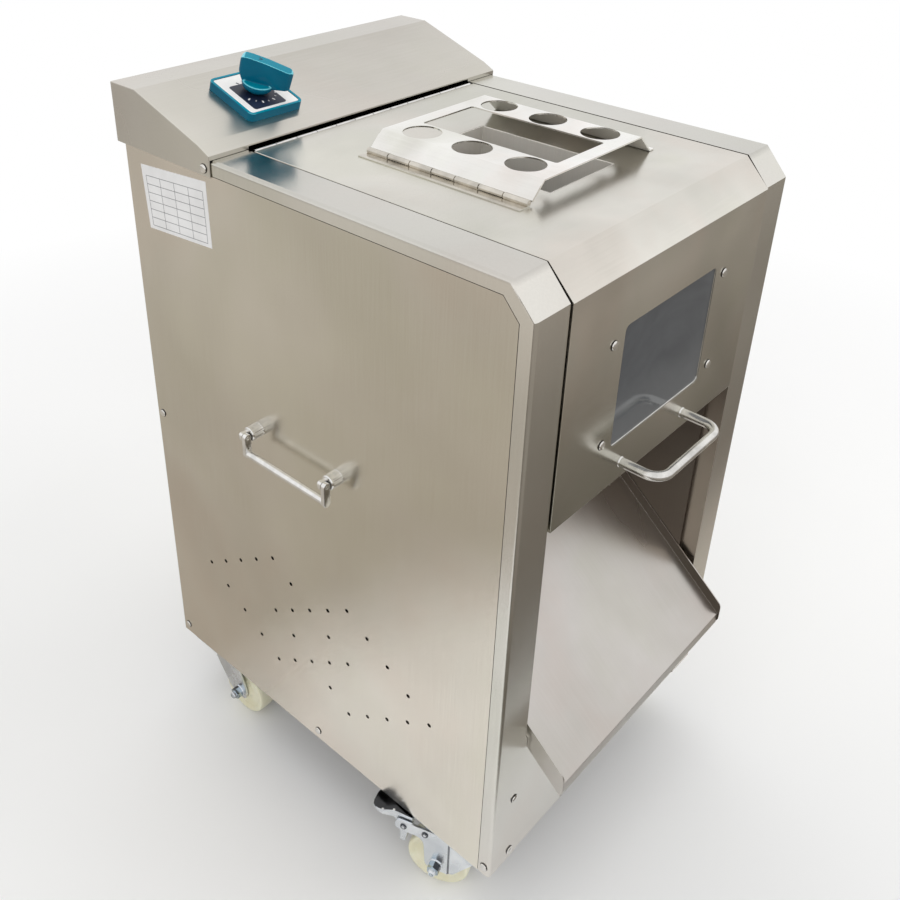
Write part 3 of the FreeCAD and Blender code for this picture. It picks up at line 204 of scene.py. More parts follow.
def stainless(name, light, dark, roughness=(0.26, 0.38), grain=(600, 600, 12), cloud=2.4, seed=0.0,
              metallic=1.0, heights=None, tones=None):
    """Rolled stainless sheet: slow clouds of tone and tint, fine grain along one axis, faint stains.

    heights gives two levels in metres and perhaps their lean; tones multiply the colour between them, which
    paints light and shade by height."""
    surface = Surface("stainless_" + name, Metallic=metallic)
    level = surface.height(*heights) if heights else None
    surface.coordinates = surface.mapped(Location=(seed, seed * 0.7, seed * 0.3))
    clouds = surface.noise(cloud, 3.0, 0.5, distortion=0.3)
    tints = surface.noise(cloud * 1.7, 3.0, 0.55, stretch=(1, 1, 0.8))
    stains = surface.noise(cloud * 5, 3.0, 0.5)
    fine = surface.noise(1.0, 3.0, 0.6, grain)
    mid = tuple((a + b) / 2 for a, b in zip(light, dark))
    tone = surface.ramp(clouds, [(0.34, dark), (0.5, mid), (0.66, light)])
    tint = surface.ramp(tints, [(0.36, green_film), (0.5, grey(1.0)), (0.64, rose_film)])
    tinted = surface.mixed(1.0, tone, tint, "MULTIPLY")
    stained = surface.mixed(surface.between(stains, 0.0, 0.2, 0.4, 0.75), tinted, (*dark, 1.0))
    pale = tuple(min(1.0, value * 1.08) for value in light)
    brushed = surface.mixed(surface.between(fine, 0.0, 0.16, 0.35, 0.75), stained, (*pale, 1.0))
    # Painted light and shade: the colour is multiplied by tones that change with height.
    if heights:
        brushed = surface.mixed(1.0, brushed, surface.ramp(level, tones), "MULTIPLY")
    surface.give(Base_Color=brushed, Roughness=surface.between(clouds, *roughness))
    surface.bump(fine, 0.02)
    return surface.material


def polished(name, tone, roughness):
    """Bright drawn or plated metal with faint wear."""
    surface = Surface(name, Metallic=1.0)
    wear = surface.noise(60, 4.0, 0.6)
    dark = tuple(value * 0.72 for value in tone)
    surface.give(Base_Color=surface.ramp(wear, [(0.3, dark), (0.62, tone)]),
                 Roughness=surface.between(wear, *roughness))
    surface.bump(surface.noise(900, 2.0), 0.04)
    return surface.material


def zinc_plate(name):
    """Bright zinc: soft pale patches over a bluish grey."""
    surface = Surface(name, Metallic=1.0)
    clouds = surface.noise(30, 3.0, 0.5)
    colour = surface.ramp(clouds, [(0.35, (0.66, 0.69, 0.73)), (0.65, (0.84, 0.865, 0.89))])
    surface.give(Base_Color=colour, Roughness=surface.between(clouds, 0.2, 0.34))
    surface.bump(clouds, 0.03, 0.0003)
    return surface.material


def plastic(name, tone, deep, roughness, grain=700, strength=0.05, painted_top_light=None, **values):
    """Moulded plastic: slight clouding, a fine moulded grain and, if a top tone is given, that paler tone on
    faces that look up as painted light from above.
    """
    surface = Surface(name, **values)
    clouds = surface.noise(28, 4.0)
    colour = surface.ramp(clouds, [(0.3, deep), (0.65, tone)])
    # Painted light from above: faces that look up are mixed towards the paler tone.
    if painted_top_light:
        normal = surface.node("NewGeometry").outputs["Normal"]
        upward = surface.node("SeparateXYZ", {0: normal}).outputs["Z"]
        colour = surface.mixed(surface.between(upward, 0.0, 1.0, 0.45, 0.95), colour, (*painted_top_light, 1.0))
    surface.give(Base_Color=colour, Roughness=surface.between(clouds, *roughness))
    surface.bump(surface.noise(grain, 3.0), strength)
    return surface.material


def window_sheet(name):
    """Smoked sheet with a faint film of grease, paler towards its lower edge as a painted reflection."""
    surface = Surface(name, IOR=1.49)
    film = surface.noise(9, 5.0, 0.6, distortion=0.8)
    smoke = surface.ramp(film, [(0.3, (0.050, 0.055, 0.062)), (0.7, (0.092, 0.098, 0.106))])
    low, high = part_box("window_pane")
    lower = surface.height((low.z + high.z) / 2, low.z)
    surface.give(Base_Color=surface.mixed(lower, smoke, (0.13, 0.135, 0.14, 1.0)),
                 Roughness=surface.between(film, 0.03, 0.1))
    surface.bump(surface.noise(40, 2.0), 0.02, 0.0005)
    return surface.material


green_film = (0.975, 0.985, 0.955)
rose_film = (1.0, 0.965, 0.955)
chute_low, chute_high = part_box("discharge_chute")

# The side sheets' colour is lighter low down and darker towards the top and back: a painted reflection of the
# pale floor.
steel_panel = stainless("side", (0.97, 0.92, 0.835), (0.76, 0.71, 0.63), (0.17, 0.26), seed=1.3,
                        heights=(0.0, 0.4, 0.8), tones=[(0.35, grey(1.0)), (0.85, (0.82, 0.82, 0.81))])
steel_bright = stainless("bright", (0.80, 0.785, 0.745), (0.62, 0.60, 0.55), (0.2, 0.32),
                         grain=(14, 600, 600), seed=4.1)
# The posts' colour is darker below 0.7 m, fullest round the chamfer and darker again at the top edge: painted
# light and shade by height.
steel_frame = stainless("posts", (0.87, 0.85, 0.80), (0.70, 0.68, 0.63), (0.17, 0.25), seed=7.7,
                        heights=(0.700, 0.806), tones=[(0.0, grey(0.90)), (0.7, grey(1.0)),
                                                       (0.94, grey(1.0)), (0.98, grey(0.78))])
# The lid's colour falls to a dark tone towards the bottom of its front and dims again at the top edge:
# painted shade by height.
steel_door = stainless("lid", (0.89, 0.86, 0.795), (0.68, 0.665, 0.60), (0.18, 0.26),
                       grain=(12, 600, 600), cloud=5.0, seed=2.9, heights=(0.45, 0.806),
                       tones=[(0.0, (0.38, 0.385, 0.37)), (0.4, (0.84, 0.84, 0.83)), (0.85, grey(1.0)),
                              (0.98, grey(0.81))])
steel_hood = stainless("hood", (0.68, 0.65, 0.60), (0.52, 0.495, 0.45), (0.22, 0.32),
                       grain=(12, 600, 600), seed=6.2)
# The chute's colour darkens towards its top, under the lid: a painted shadow.
steel_chute = stainless("chute", (0.68, 0.65, 0.62), (0.54, 0.51, 0.47),
                        grain=(600, 12, 20), cloud=5.0, seed=5.3, heights=(chute_low.z, chute_high.z),
                        tones=[(0.4, grey(0.92)), (0.6, (0.78, 0.76, 0.72)), (0.95, (0.30, 0.27, 0.23))])
# Darker copies of the steel for faces in shade, painted shade: the deeper one for the inner face of the
# chute's right wing, the other for the inward faces of the right post.
steel_deep_painted_shade = stainless("dark", (0.16, 0.14, 0.12), (0.10, 0.085, 0.07), seed=3.1)
steel_painted_shade = stainless("shade", (0.42, 0.375, 0.32), (0.30, 0.265, 0.225), seed=8.1)
# Satin steel of the feed trunk; on the guard's underside it is painted light.
trunk_steel_and_painted_light = stainless("trunk", (0.86, 0.84, 0.79), (0.66, 0.64, 0.59), (0.4, 0.5), seed=1.9,
                        metallic=0.4)
# Near-black steel for the parts inside the cabinet: painted shade.
steel_painted_interior_shade = stainless("inside", (0.19, 0.165, 0.14), (0.11, 0.095, 0.08), (0.3, 0.45), seed=9.0)
steel_guard = stainless("guard", (0.93, 0.92, 0.895), (0.72, 0.70, 0.66), (0.16, 0.26),
                        grain=(600, 12, 600), cloud=9.0, seed=3.7)
blade_steel = polished("ground_steel", (0.76, 0.77, 0.78), (0.12, 0.25))
machined = polished("machined_steel", grey(0.55), (0.25, 0.4))
chrome = polished("polished_steel", (0.84, 0.83, 0.81), (0.06, 0.14))
handle_steel = polished("brushed_handle", (0.80, 0.785, 0.755), (0.16, 0.28))
screw_steel = polished("screw_steel", (0.86, 0.84, 0.80), (0.12, 0.22))
# Near-black metal for the screws' flanks, foot rims and recesses: painted shade.
screw_painted_shade = polished("painted_shade_screw_recess", (0.05, 0.045, 0.04), (0.4, 0.6))
hinge_steel = polished("hinge_barrel", (0.70, 0.66, 0.59), (0.08, 0.14))
zinc = zinc_plate("bright_zinc")
# Near-black zinc for the rivets, and for the pedals' treads and the nuts' forward faces as painted reflection
# and painted shade.
zinc_black_and_painted_shade = polished("black_zinc_and_painted_shade", (0.07, 0.075, 0.085), (0.15, 0.3))
zinc_blue = polished("blue_zinc", (0.50, 0.58, 0.64), (0.1, 0.2))
# Darker zinc for the sloped faces of the forks' crease: painted shade in the crease.
zinc_crease_painted_shade = polished("crease_zinc_painted_shade", (0.27, 0.28, 0.30), (0.2, 0.3))
nylon = plastic("cream_nylon", (0.80, 0.78, 0.62), (0.70, 0.66, 0.46), (0.3, 0.5), Subsurface_Weight=0.15,
                Subsurface_Radius=(0.004, 0.003, 0.002))
# The teal is paler on faces that look up: painted light from above.
teal = plastic("teal_plastic", (0.0, 0.13, 0.215), (0.0, 0.10, 0.175), (0.1, 0.16), painted_top_light=(0.0, 0.22, 0.31),
               Specular_IOR_Level=0.15)
# Paler teal laid on the rounded upper edges of the switch: a painted highlight.
teal_painted_highlight = plastic("teal_painted_highlight", (0.16, 0.60, 0.70), (0.08, 0.48, 0.58), (0.08, 0.14), Specular_IOR_Level=0.5)
white_plastic = plastic("white_plate", (0.82, 0.81, 0.79), (0.74, 0.73, 0.72), (0.3, 0.4))
ink = plastic("dark_print", (0.012, 0.018, 0.045), (0.004, 0.006, 0.016), (0.3, 0.45))
paper = plastic("sticker_paper", (0.78, 0.775, 0.77), (0.70, 0.695, 0.69), (0.4, 0.55))
grey_line = plastic("sticker_lines", (0.30, 0.30, 0.31), (0.22, 0.22, 0.23), (0.4, 0.5))
black_plastic = plastic("black_plastic", grey(0.03), grey(0.015), (0.35, 0.5))
rubber = plastic("belt_rubber", grey(0.022), grey(0.01), (0.6, 0.8), 500, 0.2)
motor_paint = plastic("motor_paint", (0.12, 0.14, 0.155), (0.07, 0.08, 0.09), (0.35, 0.5), 400, 0.1)
cast_iron = plastic("cast_iron", (0.10, 0.10, 0.105), (0.045, 0.045, 0.05), (0.5, 0.7), 350, 0.5,
                    Metallic=0.6)
pane = window_sheet("smoked_window")

node_materials = {
    steel_panel: ["left_side_panel", "right_side_panel", "rear_panel"],
    steel_hood: ["control_hood"],
    steel_frame: ["left_front_frame", "right_front_frame", "lower_front_panel"],
    steel_door: ["lid"],
    steel_bright: ["lid_hinge_fixed_leaf", "lid_hinge_moving_leaf", "guard_hinge_fixed_leaf",
                   "guard_hinge_moving_leaf", "panel_screws", "window_screws"],
    trunk_steel_and_painted_light: ["feed_trunk"],
    steel_guard: ["guard"],
    steel_chute: ["discharge_chute"],
    steel_painted_interior_shade: ["base_tray", "left_chamber_wall", "right_chamber_wall", "bulkhead", "front_bearing_plate",
                  "stripper_combs"],
    pane: ["window_pane"],
    chrome: ["lid_handle", "side_handle_posts", "left_side_bail", "right_side_bail"],
    zinc: ["castor_plates", "front_left_brake_pedal", "front_right_brake_pedal",
           *[corner + "_fork" for corner in castors]],
    nylon: [corner + "_wheel" for corner in castors],
    teal: ["switch_frame", "switch_knob"],
    white_plastic: ["switch_dial"],
    black_plastic: ["switch_body", "cable_gland"],
    blade_steel: ["left_blades", "right_blades"],
    machined: ["left_blade_shaft", "right_blade_shaft", "left_spacers", "right_spacers", "left_gear",
               "right_gear"],
    cast_iron: ["shaft_bearings", "driven_pulley", "motor_pulley"],
    motor_paint: ["motor"],
    rubber: ["drive_belt"],
}
for material, names in node_materials.items():
    for name in names:
        for material_slot in nodes[name].material_slots:
            material_slot.link = "OBJECT"
            material_slot.material = material

# Mesh helpers

weld_reach = 1e-5
flat_turn = math.radians(1)
edge_turn = math.radians(35)
mould_voxel = 0.5
bend_radius = 0.8
bend_turn = 20


def modify(piece, kind, **settings):
    """Add a modifier with its settings."""
    modifier = piece.modifiers.new(kind.lower(), kind)
    for key, value in settings.items():
        setattr(modifier, key, value)


def soften(name):
    """A small radius on a node's sharp edges, as cut and folded sheet has."""
    node = nodes[name]
    modify(node, "WELD", merge_threshold=weld_reach)
    modify(node, "DECIMATE", decimate_type="DISSOLVE", angle_limit=flat_turn)
    modify(node, "BEVEL", width=0.45 * mm, segments=2, limit_method="ANGLE", angle_limit=edge_turn)


for name in ("rear_panel", "right_side_panel", "feed_trunk", "front_bearing_plate", "castor_plates"):
    soften(name)


def linked(name, data):
    """A new object in the scene."""
    made = bpy.data.objects.new(name, data)
    scene.collection.objects.link(made)
    return made


def from_bmesh(build, outward=False):
    """The mesh that was built; outward first turns its faces to the outside."""
    if outward:
        bmesh.ops.recalc_face_normals(build, faces=build.faces)
    build.normal_update()
    mesh = bpy.data.meshes.new("piece")
    build.to_mesh(mesh)
    build.free()
    return mesh


def flat_first(piece):
    """Shade large faces flat and let the small faces between them carry the turn."""
    modify(piece, "WEIGHTED_NORMAL", mode="FACE_AREA", keep_sharp=True)


def finish_mesh(name, mesh, material, body, replaced, angle=35):
    """Make a piece of a mesh or bmesh: materials, smooth shading up to an angle, body, what it replaces."""
    if isinstance(mesh, bmesh.types.BMesh):
        mesh = from_bmesh(mesh)
    mesh.name = name
    for each in material if isinstance(material, list) else [material]:
        mesh.materials.append(each)
    mesh.shade_smooth()
    mesh.set_sharp_from_angle(angle=math.radians(angle))
    piece = linked(name, mesh)
    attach(piece, body)
    if replaced:
        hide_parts(*replaced)
    return piece


def ring_points(centre, axis, radii):
    """Points round a centre and square to the axis, one for each radius in millimetres."""
    axis = axis.normalized()
    u = axis.cross(z_axis if abs(axis.z) < 0.9 else x_axis).normalized()
    v = axis.cross(u)
    turns = (2 * math.pi * k / len(radii) for k in range(len(radii)))
    return [centre + (u * math.cos(turn) + v * math.sin(turn)) * (radius * mm)
            for turn, radius in zip(turns, radii)]


def skin(build, rings):
    """Faces between neighbouring rings of points and over both ends; a ring may be a single point."""
    rings = [[build.verts.new(point) for point in ring] for ring in rings]
    for first, second in zip(rings[:-1], rings[1:]):
        count = max(len(first), len(second))
        for k in range(count):
            m = (k + 1) % count
            corners = [first[k % len(first)], first[m % len(first)],
                       second[m % len(second)], second[k % len(second)]]
            unique = list(dict.fromkeys(corners))
            if len(unique) > 2:
                build.faces.new(unique)
    for ring, order in ((rings[0], -1), (rings[-1], 1)):
        if len(ring) > 2:
            build.faces.new(ring[::order])


def lathe(build, profile, foot, axis, sides):
    """A turned form: the profile lists (distance, radius) in millimetres along the axis."""
    along = axis.normalized()
    skin(build, [ring_points(foot + along * (distance * mm), axis, [radius] * (sides if radius > 0 else 1))
                 for distance, radius in profile])


def sweep(build, path, radius, sides):
    """A round bar along a path, its rings mitred where the path turns; radius in millimetres."""
    rings = [ring_points(path[0], path[1] - path[0], [radius] * sides)]
    for index in range(1, len(path)):
        run = (path[index] - path[index - 1]).normalized()
        mitre = run
        if index + 1 < len(path):
            mitre = run + (path[index + 1] - path[index]).normalized()
        rings.append([spot + run * ((path[index] - spot).dot(mitre) / run.dot(mitre)) for spot in rings[-1]])
    skin(build, rings)


def rounded_path(points, radius, steps):
    """The path with an arc of short runs in place of each inner corner."""
    result = [points[0]]
    for before, corner, after in zip(points[:-2], points[1:-1], points[2:]):
        u = (before - corner).normalized()
        v = (after - corner).normalized()
        half_angle = u.angle(v) / 2
        reach = radius / math.tan(half_angle)
        centre = corner + (u + v).normalized() * (radius / math.sin(half_angle))
        start = corner + u * reach - centre
        axis = u.cross(v)
        for step in range(steps + 1):
            turn = -(math.pi - 2 * half_angle) * step / steps
            result.append(centre + Quaternion(axis, turn) @ start)
    result.append(points[-1])
    return result


def prism(build, outline, rise):
    """An outline of points, carried along a vector into a solid."""
    low = [build.verts.new(point) for point in outline]
    high = [build.verts.new(point + rise) for point in outline]
    build.faces.new(low[::-1])
    build.faces.new(high)
    for k in range(len(low)):
        m = (k + 1) % len(low)
        build.faces.new([low[k], low[m], high[m], high[k]])


def prisms(outlines, rise):
    """A mesh of several outlines, each carried along the same vector."""
    build = bmesh.new()
    for outline in outlines:
        prism(build, outline, rise)
    return from_bmesh(build, outward=True)


def rounded_rectangle(x0, x1, y0, y1, radius, steps=6):
    """Corners of a rectangle with round corners, counter-clockwise, as pairs."""
    points = []
    for cx, cy, start in ((x1 - radius, y1 - radius, 0), (x0 + radius, y1 - radius, 90),
                          (x0 + radius, y0 + radius, 180), (x1 - radius, y0 + radius, 270)):
        for step in range(steps + 1):
            turn = math.radians(start + 90 * step / steps)
            points.append((cx + radius * math.cos(turn), cy + radius * math.sin(turn)))
    return points


def circle(x, y, radius, sides=48):
    """Points round a circle as pairs."""
    turns = (2 * math.pi * k / sides for k in range(sides))
    return [(x + radius * math.cos(turn), y + radius * math.sin(turn)) for turn in turns]


def bevelled(mesh, width, segments=2, angle=35):
    """The mesh with a small radius on its sharp edges; width in millimetres."""
    build = bmesh.new()
    build.from_mesh(mesh)
    edges = [edge for edge in build.edges if len(edge.link_faces) == 2
             and edge.calc_face_angle(0.0) > math.radians(angle)]
    bmesh.ops.bevel(build, geom=edges, offset=width * mm, segments=segments, affect="EDGES",
                    profile=0.5, clamp_overlap=True)
    return from_bmesh(build)


def modified(mesh, *modifiers):
    """The mesh as a row of modifiers leaves it, each given as its kind and settings."""
    body = linked("modified", mesh)
    for kind, settings in modifiers:
        modify(body, kind, **settings)
    bpy.context.view_layer.update()
    evaluated = body.evaluated_get(bpy.context.evaluated_depsgraph_get())
    result = bpy.data.meshes.new_from_object(evaluated)
    bpy.data.objects.remove(body)
    return result


def combined(mesh, other, operation="DIFFERENCE"):
    """The mesh less another, or what both share."""
    tool = linked("cut_tool", other)
    result = modified(mesh, ("BOOLEAN", {"operation": operation, "solver": "EXACT", "object": tool}))
    bpy.data.objects.remove(tool)
    return result


def moulded(mesh, passes):
    """The mesh as one moulding, its corners softer with each pass."""
    return modified(mesh, ("REMESH", {"mode": "VOXEL", "voxel_size": mould_voxel * mm}),
                    ("SMOOTH", {"iterations": passes}))


def welded(name):
    """A node's mesh with its corners joined."""
    build = bmesh.new()
    build.from_mesh(nodes[name].data)
    bmesh.ops.remove_doubles(build, verts=build.verts, dist=weld_reach)
    return build


def copied(node, body, material, edge=0.3, angle=35, bend=None):
    """A piece like its node, with its corners broken by a small radius and its folds by the bend's."""
    build = welded(node)
    bmesh.ops.dissolve_limit(build, angle_limit=flat_turn, verts=build.verts, edges=build.edges)
    build.normal_update()
    weights = build.edges.layers.float.new("bevel_weight_edge")
    widest = sheet + bend if bend else edge
    for line in build.edges:
        if len(line.link_faces) != 2:
            continue
        turn = line.calc_face_angle_signed(0.0)
        if abs(turn) < math.radians(bend_turn if bend else angle):
            continue
        reach = edge
        length = line.calc_length()
        narrow = min(face.calc_area() for face in line.link_faces) / length
        if bend and min(narrow, length) > 1.5 * sheet * mm:
            radius = sheet + bend if turn > 0 else bend
            reach = radius * math.tan(abs(turn) / 2)
        line[weights] = min(1.0, reach / widest)
    piece = finish_mesh(node + "_sheet", build, material, body, [node],
                        angle)
    modify(piece, "BEVEL", limit_method="WEIGHT", width=widest * mm, segments=4 if bend else 2,
           use_clamp_overlap=True)
    flat_first(piece)
    return piece


def islands(name):
    """Middle and size of each loose solid of a node, in the order of its vertices."""
    build = welded(name)
    seen = set()
    found = []
    for first in build.verts:
        if first in seen:
            continue
        seen.add(first)
        queue = [first]
        group = []
        while queue:
            vertex = queue.pop()
            group.append(vertex.co.copy())
            others = {edge.other_vert(vertex) for edge in vertex.link_edges} - seen
            seen |= others
            queue += others
        low, high = [Vector([pick(point[i] for point in group) for i in range(3)]) for pick in (min, max)]
        found.append(((low + high) / 2, high - low))
    build.free()
    return found


# Screws

screw_radius = 4.5
screw_height = 2.4
screw_slot = (5.4, 2.2, 1.5)
screw_shadow = 0.5


def screw_template():
    """A pan head with a cross recess, on the origin and facing +Z; its flank, a thin rim round its foot and
    the walls and floor of the recess take a near-black tone as painted shade.
    """
    r, h = screw_radius, screw_height
    rim = r + screw_shadow
    build = bmesh.new()
    lathe(build, [(0, rim), (0.2, rim), (0.2, r), (0.35 * h, r), (0.68 * h, 0.9 * r), (0.9 * h, 0.66 * r),
                  (h, 0.3 * r), (h, 0)], Vector(), z_axis, 32)
    long, wide, deep = screw_slot
    bars = [[Vector((x * a / 2, y * b / 2, h - deep)) * mm for x, y in ((-1, -1), (1, -1), (1, 1), (-1, 1))]
            for a, b in ((long, wide), (wide, long))]
    cross = prisms(bars, z_axis * (2 * deep * mm))
    # The two bars overlap, and their shared middle goes with the second cut
    mesh = combined(combined(from_bmesh(build), cross), cross.copy())
    # The flank and the thin rim round the foot take the near-black tone as a painted shadow outline, and the
    # recess's walls and floor as painted shade.
    for face in mesh.polygons:
        middle = face.center
        inside = max(abs(middle.x), abs(middle.y)) < (long / 2 + 0.05) * mm
        upright = abs(face.normal.z) < 0.1
        floor = abs(middle.z - (h - deep) * mm) < weld_reach
        flank = not inside and (abs(face.normal.z) < 0.2 or middle.z < 0.25 * mm)
        if flank or inside and (upright or floor) and middle.z > 0.2 * mm:
            face.material_index = 1
    return mesh


screw_mesh = screw_template()


def screw_heads(name, node, body):
    """Every head of a node, each facing away from the machine's middle."""
    build = bmesh.new()
    for index, (middle, size) in enumerate(islands(node)):
        thin = min(range(3), key=lambda i: size[i])
        direction = Vector()
        direction[thin] = math.copysign(1.0, middle[thin])
        foot = Matrix.Translation(middle - direction * size[thin] / 2)
        facing = z_axis.rotation_difference(direction).to_matrix().to_4x4()
        spin = Matrix.Rotation(0.7 + 1.9 * index, 4, "Z")
        start = len(build.verts)
        build.from_mesh(screw_mesh)
        build.verts.ensure_lookup_table()
        bmesh.ops.transform(build, matrix=foot @ facing @ spin, verts=build.verts[start:])
    finish_mesh(name, build, [screw_steel, screw_painted_shade], body, [node], 30)


screw_heads("panel_screw_heads", "panel_screws", "cabinet")
screw_heads("window_screw_heads", "window_screws", "lid")

# Flat and folded sheets

sheets = {}
for node in ("left_front_frame", "right_front_frame", "lower_front_panel", "control_hood", "discharge_chute",
             "lid"):
    body = "lid" if node == "lid" else "cabinet"
    tones = [nodes[node].material_slots[0].material, steel_deep_painted_shade if node == "discharge_chute" else steel_painted_shade]
    sheets[node] = copied(node, body, tones, bend=bend_radius)
# The right post's inward faces and the inner face of the chute's right wing take the darker copies of the
# steel: painted shade.
for face in sheets["right_front_frame"].data.polygons:
    face.material_index = int(face.normal.x < -0.9)
for face in sheets["discharge_chute"].data.polygons:
    face.material_index = int(face.normal.x < -0.35 and face.center.x > 0)


def hinge_leaf(joint, leaf, body, sheet_material, barrel_material, barrel_radius):
    """A leaf with its knuckles in a metal of their own."""
    piece = copied(joint + leaf, body, [sheet_material, barrel_material], edge=0.2, angle=48)
    pin = Vector(joints[joint]["pos_m"])
    axis = Vector(joints[joint]["axis"]).normalized()
    for face in piece.data.polygons:
        reach = face.center - pin
        from_pin = (reach - axis * reach.dot(axis)).length
        face.material_index = int(from_pin < (barrel_radius + 0.1) * mm)


hinge_leaf("lid_hinge", "_fixed_leaf", "cabinet", steel_door, chrome, 3.0)
hinge_leaf("lid_hinge", "_moving_leaf", "lid", steel_door, chrome, 3.0)
hinge_leaf("guard_hinge", "_fixed_leaf", "lid", steel_door, hinge_steel, 4.0)
hinge_leaf("guard_hinge", "_moving_leaf", "guard", steel_guard, hinge_steel, 4.0)


def vent_spots():
    """Middles of the vents as (y, z)."""
    rows = range(vent_cells + 1)
    rim = (0, vent_cells)
    cells = {(start + i, start + j) for start in (0, vent_offset) for i in rows for j in rows
             if i in rim or j in rim}
    middle = vent_cells + vent_offset
    return [(vent_centre[0] - (i + j - middle) * vent_pitch[0], vent_centre[1] + (i - j) * vent_pitch[1])
            for i, j in sorted(cells)]


def left_panel():
    """The vented side sheet with round holes."""
    seam = frame_band + seam_gap
    k = math.tan(math.atan2(chamfer_height, chamfer_depth) / 2)
    m = math.tan(math.atan2(chamfer_depth, chamfer_height) / 2)
    top = cabinet_height - seam
    outline = [(seam, 0.0), (seam, cabinet_height - chamfer_height - seam * m),
               (chamfer_depth + seam * k, top), (cabinet_depth, top), (cabinet_depth, 0.0)]
    panel = prisms([[place(-half, y, z) for y, z in outline]], x_axis * (sheet * mm))
    vents = prisms([[place(-half - 2, a, b) for a, b in circle(y, z, vent_radius, 24)]
                    for y, z in vent_spots()], x_axis * (4 * sheet * mm))
    flat_first(finish_mesh("left_side_sheet", bevelled(combined(panel, vents), 0.25), steel_panel, "cabinet",
                           ["left_side_panel"], 50))


left_panel()


def guard():
    """Hat-shaped guard with folded edges, round holes and a round-cornered cut-out."""
    path = rounded_path([Vector((x, 0, z)) for x, z in guard_path], guard_fold, 5)
    offset = []
    for index, point in enumerate(path):
        before = path[max(index - 1, 0)]
        after = path[min(index + 1, len(path) - 1)]
        run = (after - before).normalized()
        offset.append(point + Vector((run.z, 0, -run.x)) * -sheet)
    hat = prisms([[place(point.x, guard_front, point.z) for point in path + offset[::-1]]],
                 y_axis * ((guard_back - guard_front) * mm))
    cuts = [circle(x, y, guard_hole_radius) for x, y in guard_holes]
    cuts.append(rounded_rectangle(*guard_cutout, guard_cutout_corner))
    cutters = prisms([[place(a, b, guard_cutter_foot) for a, b in cut] for cut in cuts],
                     z_axis * (guard_cutter_rise * mm))
    hat = bevelled(combined(hat, cutters), 0.25)
    # Faces that look down take the paler satin trunk steel, which shows lighter than the guard's own metal
    # would: painted light under the guard.
    for face in hat.polygons:
        face.material_index = int(face.normal.z < -0.3)
    flat_first(finish_mesh("guard_sheet", hat, [steel_guard, trunk_steel_and_painted_light], "guard", ["guard"],
                           50))


guard()

# Door handle and window


def door_handle():
    """Bent round bar with a small weld bead at each foot."""
    low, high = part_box("lid_handle")
    radius = (high.z - low.z) / 2 / mm
    z = (low.z + high.z) / 2
    front = low.y + radius * mm
    x0, x1 = low.x + radius * mm, high.x - radius * mm
    points = [Vector((x, y, z)) for x, y in ((x0, high.y), (x0, front), (x1, front), (x1, high.y))]
    build = bmesh.new()
    sweep(build, rounded_path(points, handle_bend * mm, 12), radius, 32)
    for x in (x0, x1):
        weld = [(along, radius + rise) for along, rise in handle_weld]
        lathe(build, weld, Vector((x, high.y, z)), -y_axis, 32)
    finish_mesh("door_handle_bar", build, handle_steel, "lid", ["lid_handle"])


def window_highlight_bead():
    """Thin chrome bead along the edge of the pane's opening, standing in for that edge's bright line: a
    painted highlight.
    """
    low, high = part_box("window_pane")
    middle = (low.z + high.z) / 2 / mm
    tall = window_height / 2
    front = low.y - 0.1 * mm
    corners = rounded_rectangle(-window_half_width, window_half_width, middle - tall, middle + tall,
                                window_corner)
    path = [Vector((x * mm, front, z * mm)) for x, z in corners]
    build = bmesh.new()
    sweep(build, path + path[:1], bead_radius, 10)
    finish_mesh("window_highlight_bead", build, chrome, "lid", ())


door_handle()
window_highlight_bead()

# Carrying handles

side_handle_z = 420.0
post_radius = 8.0
post_length = 15.0
post_reach = 20.0
post_flutes = 22
flute_depth = 0.55
flute_steps = 6
post_rings = [(0, 0, 0), (0.6, 0, 0), (1.2, flute_depth, 0), (post_length - 2.6, flute_depth, 0),
              (post_length - 2.2, 0, 0), (post_length - 0.8, 0, 0), (post_length, 0, 0.9)]
tongue_thickness = 3.5
tongue_half_height = 4.5
tongue_corner = 2.8
link_thickness = 5.0
link_gap = 0.3
pin_head = [(0, 4.0), (1.0, 4.0), (2.3, 3.5), (3.0, 2.7), (3.0, 2.1), (1.6, 1.9), (1.6, 0)]
pin_end = [(-0.4, 2.2), (0.1, 2.2), (0.3, 1.4), (0.3, 0)]
rod_radius = 4.0
collar_radius = 4.4
post_rows = (218.5, 337.5)


def fluted_post(build, foot, axis):
    """A round post with lengthwise flutes between a plain foot and a plain rim."""
    count = post_flutes * flute_steps
    waves = [0.5 - 0.5 * math.cos(post_flutes * 2 * math.pi * k / count) for k in range(count)]
    skin(build, [ring_points(foot + axis * (along * mm), axis,
                             [post_radius - shrink - depth * wave for wave in waves])
                 for along, depth, shrink in post_rings])


def side_posts():
    """Fluted posts, tongues and headed pins of both carrying handles."""
    build = bmesh.new()
    pin_x = half + post_reach
    h, z = tongue_half_height, side_handle_z
    outline = rounded_rectangle(half + post_length - 3, pin_x + h, z - h, z + h, tongue_corner)
    for side in (-1, 1):
        for y in post_rows:
            fluted_post(build, place(side * half, y, z), x_axis * side)
            prism(build, [place(side * a, y, b) for a, b in outline], y_axis * (tongue_thickness * mm))
            lathe(build, pin_head, place(side * pin_x, y + tongue_thickness, z), y_axis, 28)
            lathe(build, pin_end, place(side * pin_x, y - link_gap - link_thickness, z), -y_axis, 24)
    posts = bevelled(from_bmesh(build, outward=True), 0.3, 2, 60)
    finish_mesh("carrying_handle_posts", posts, chrome, "cabinet", ["side_handle_posts"])


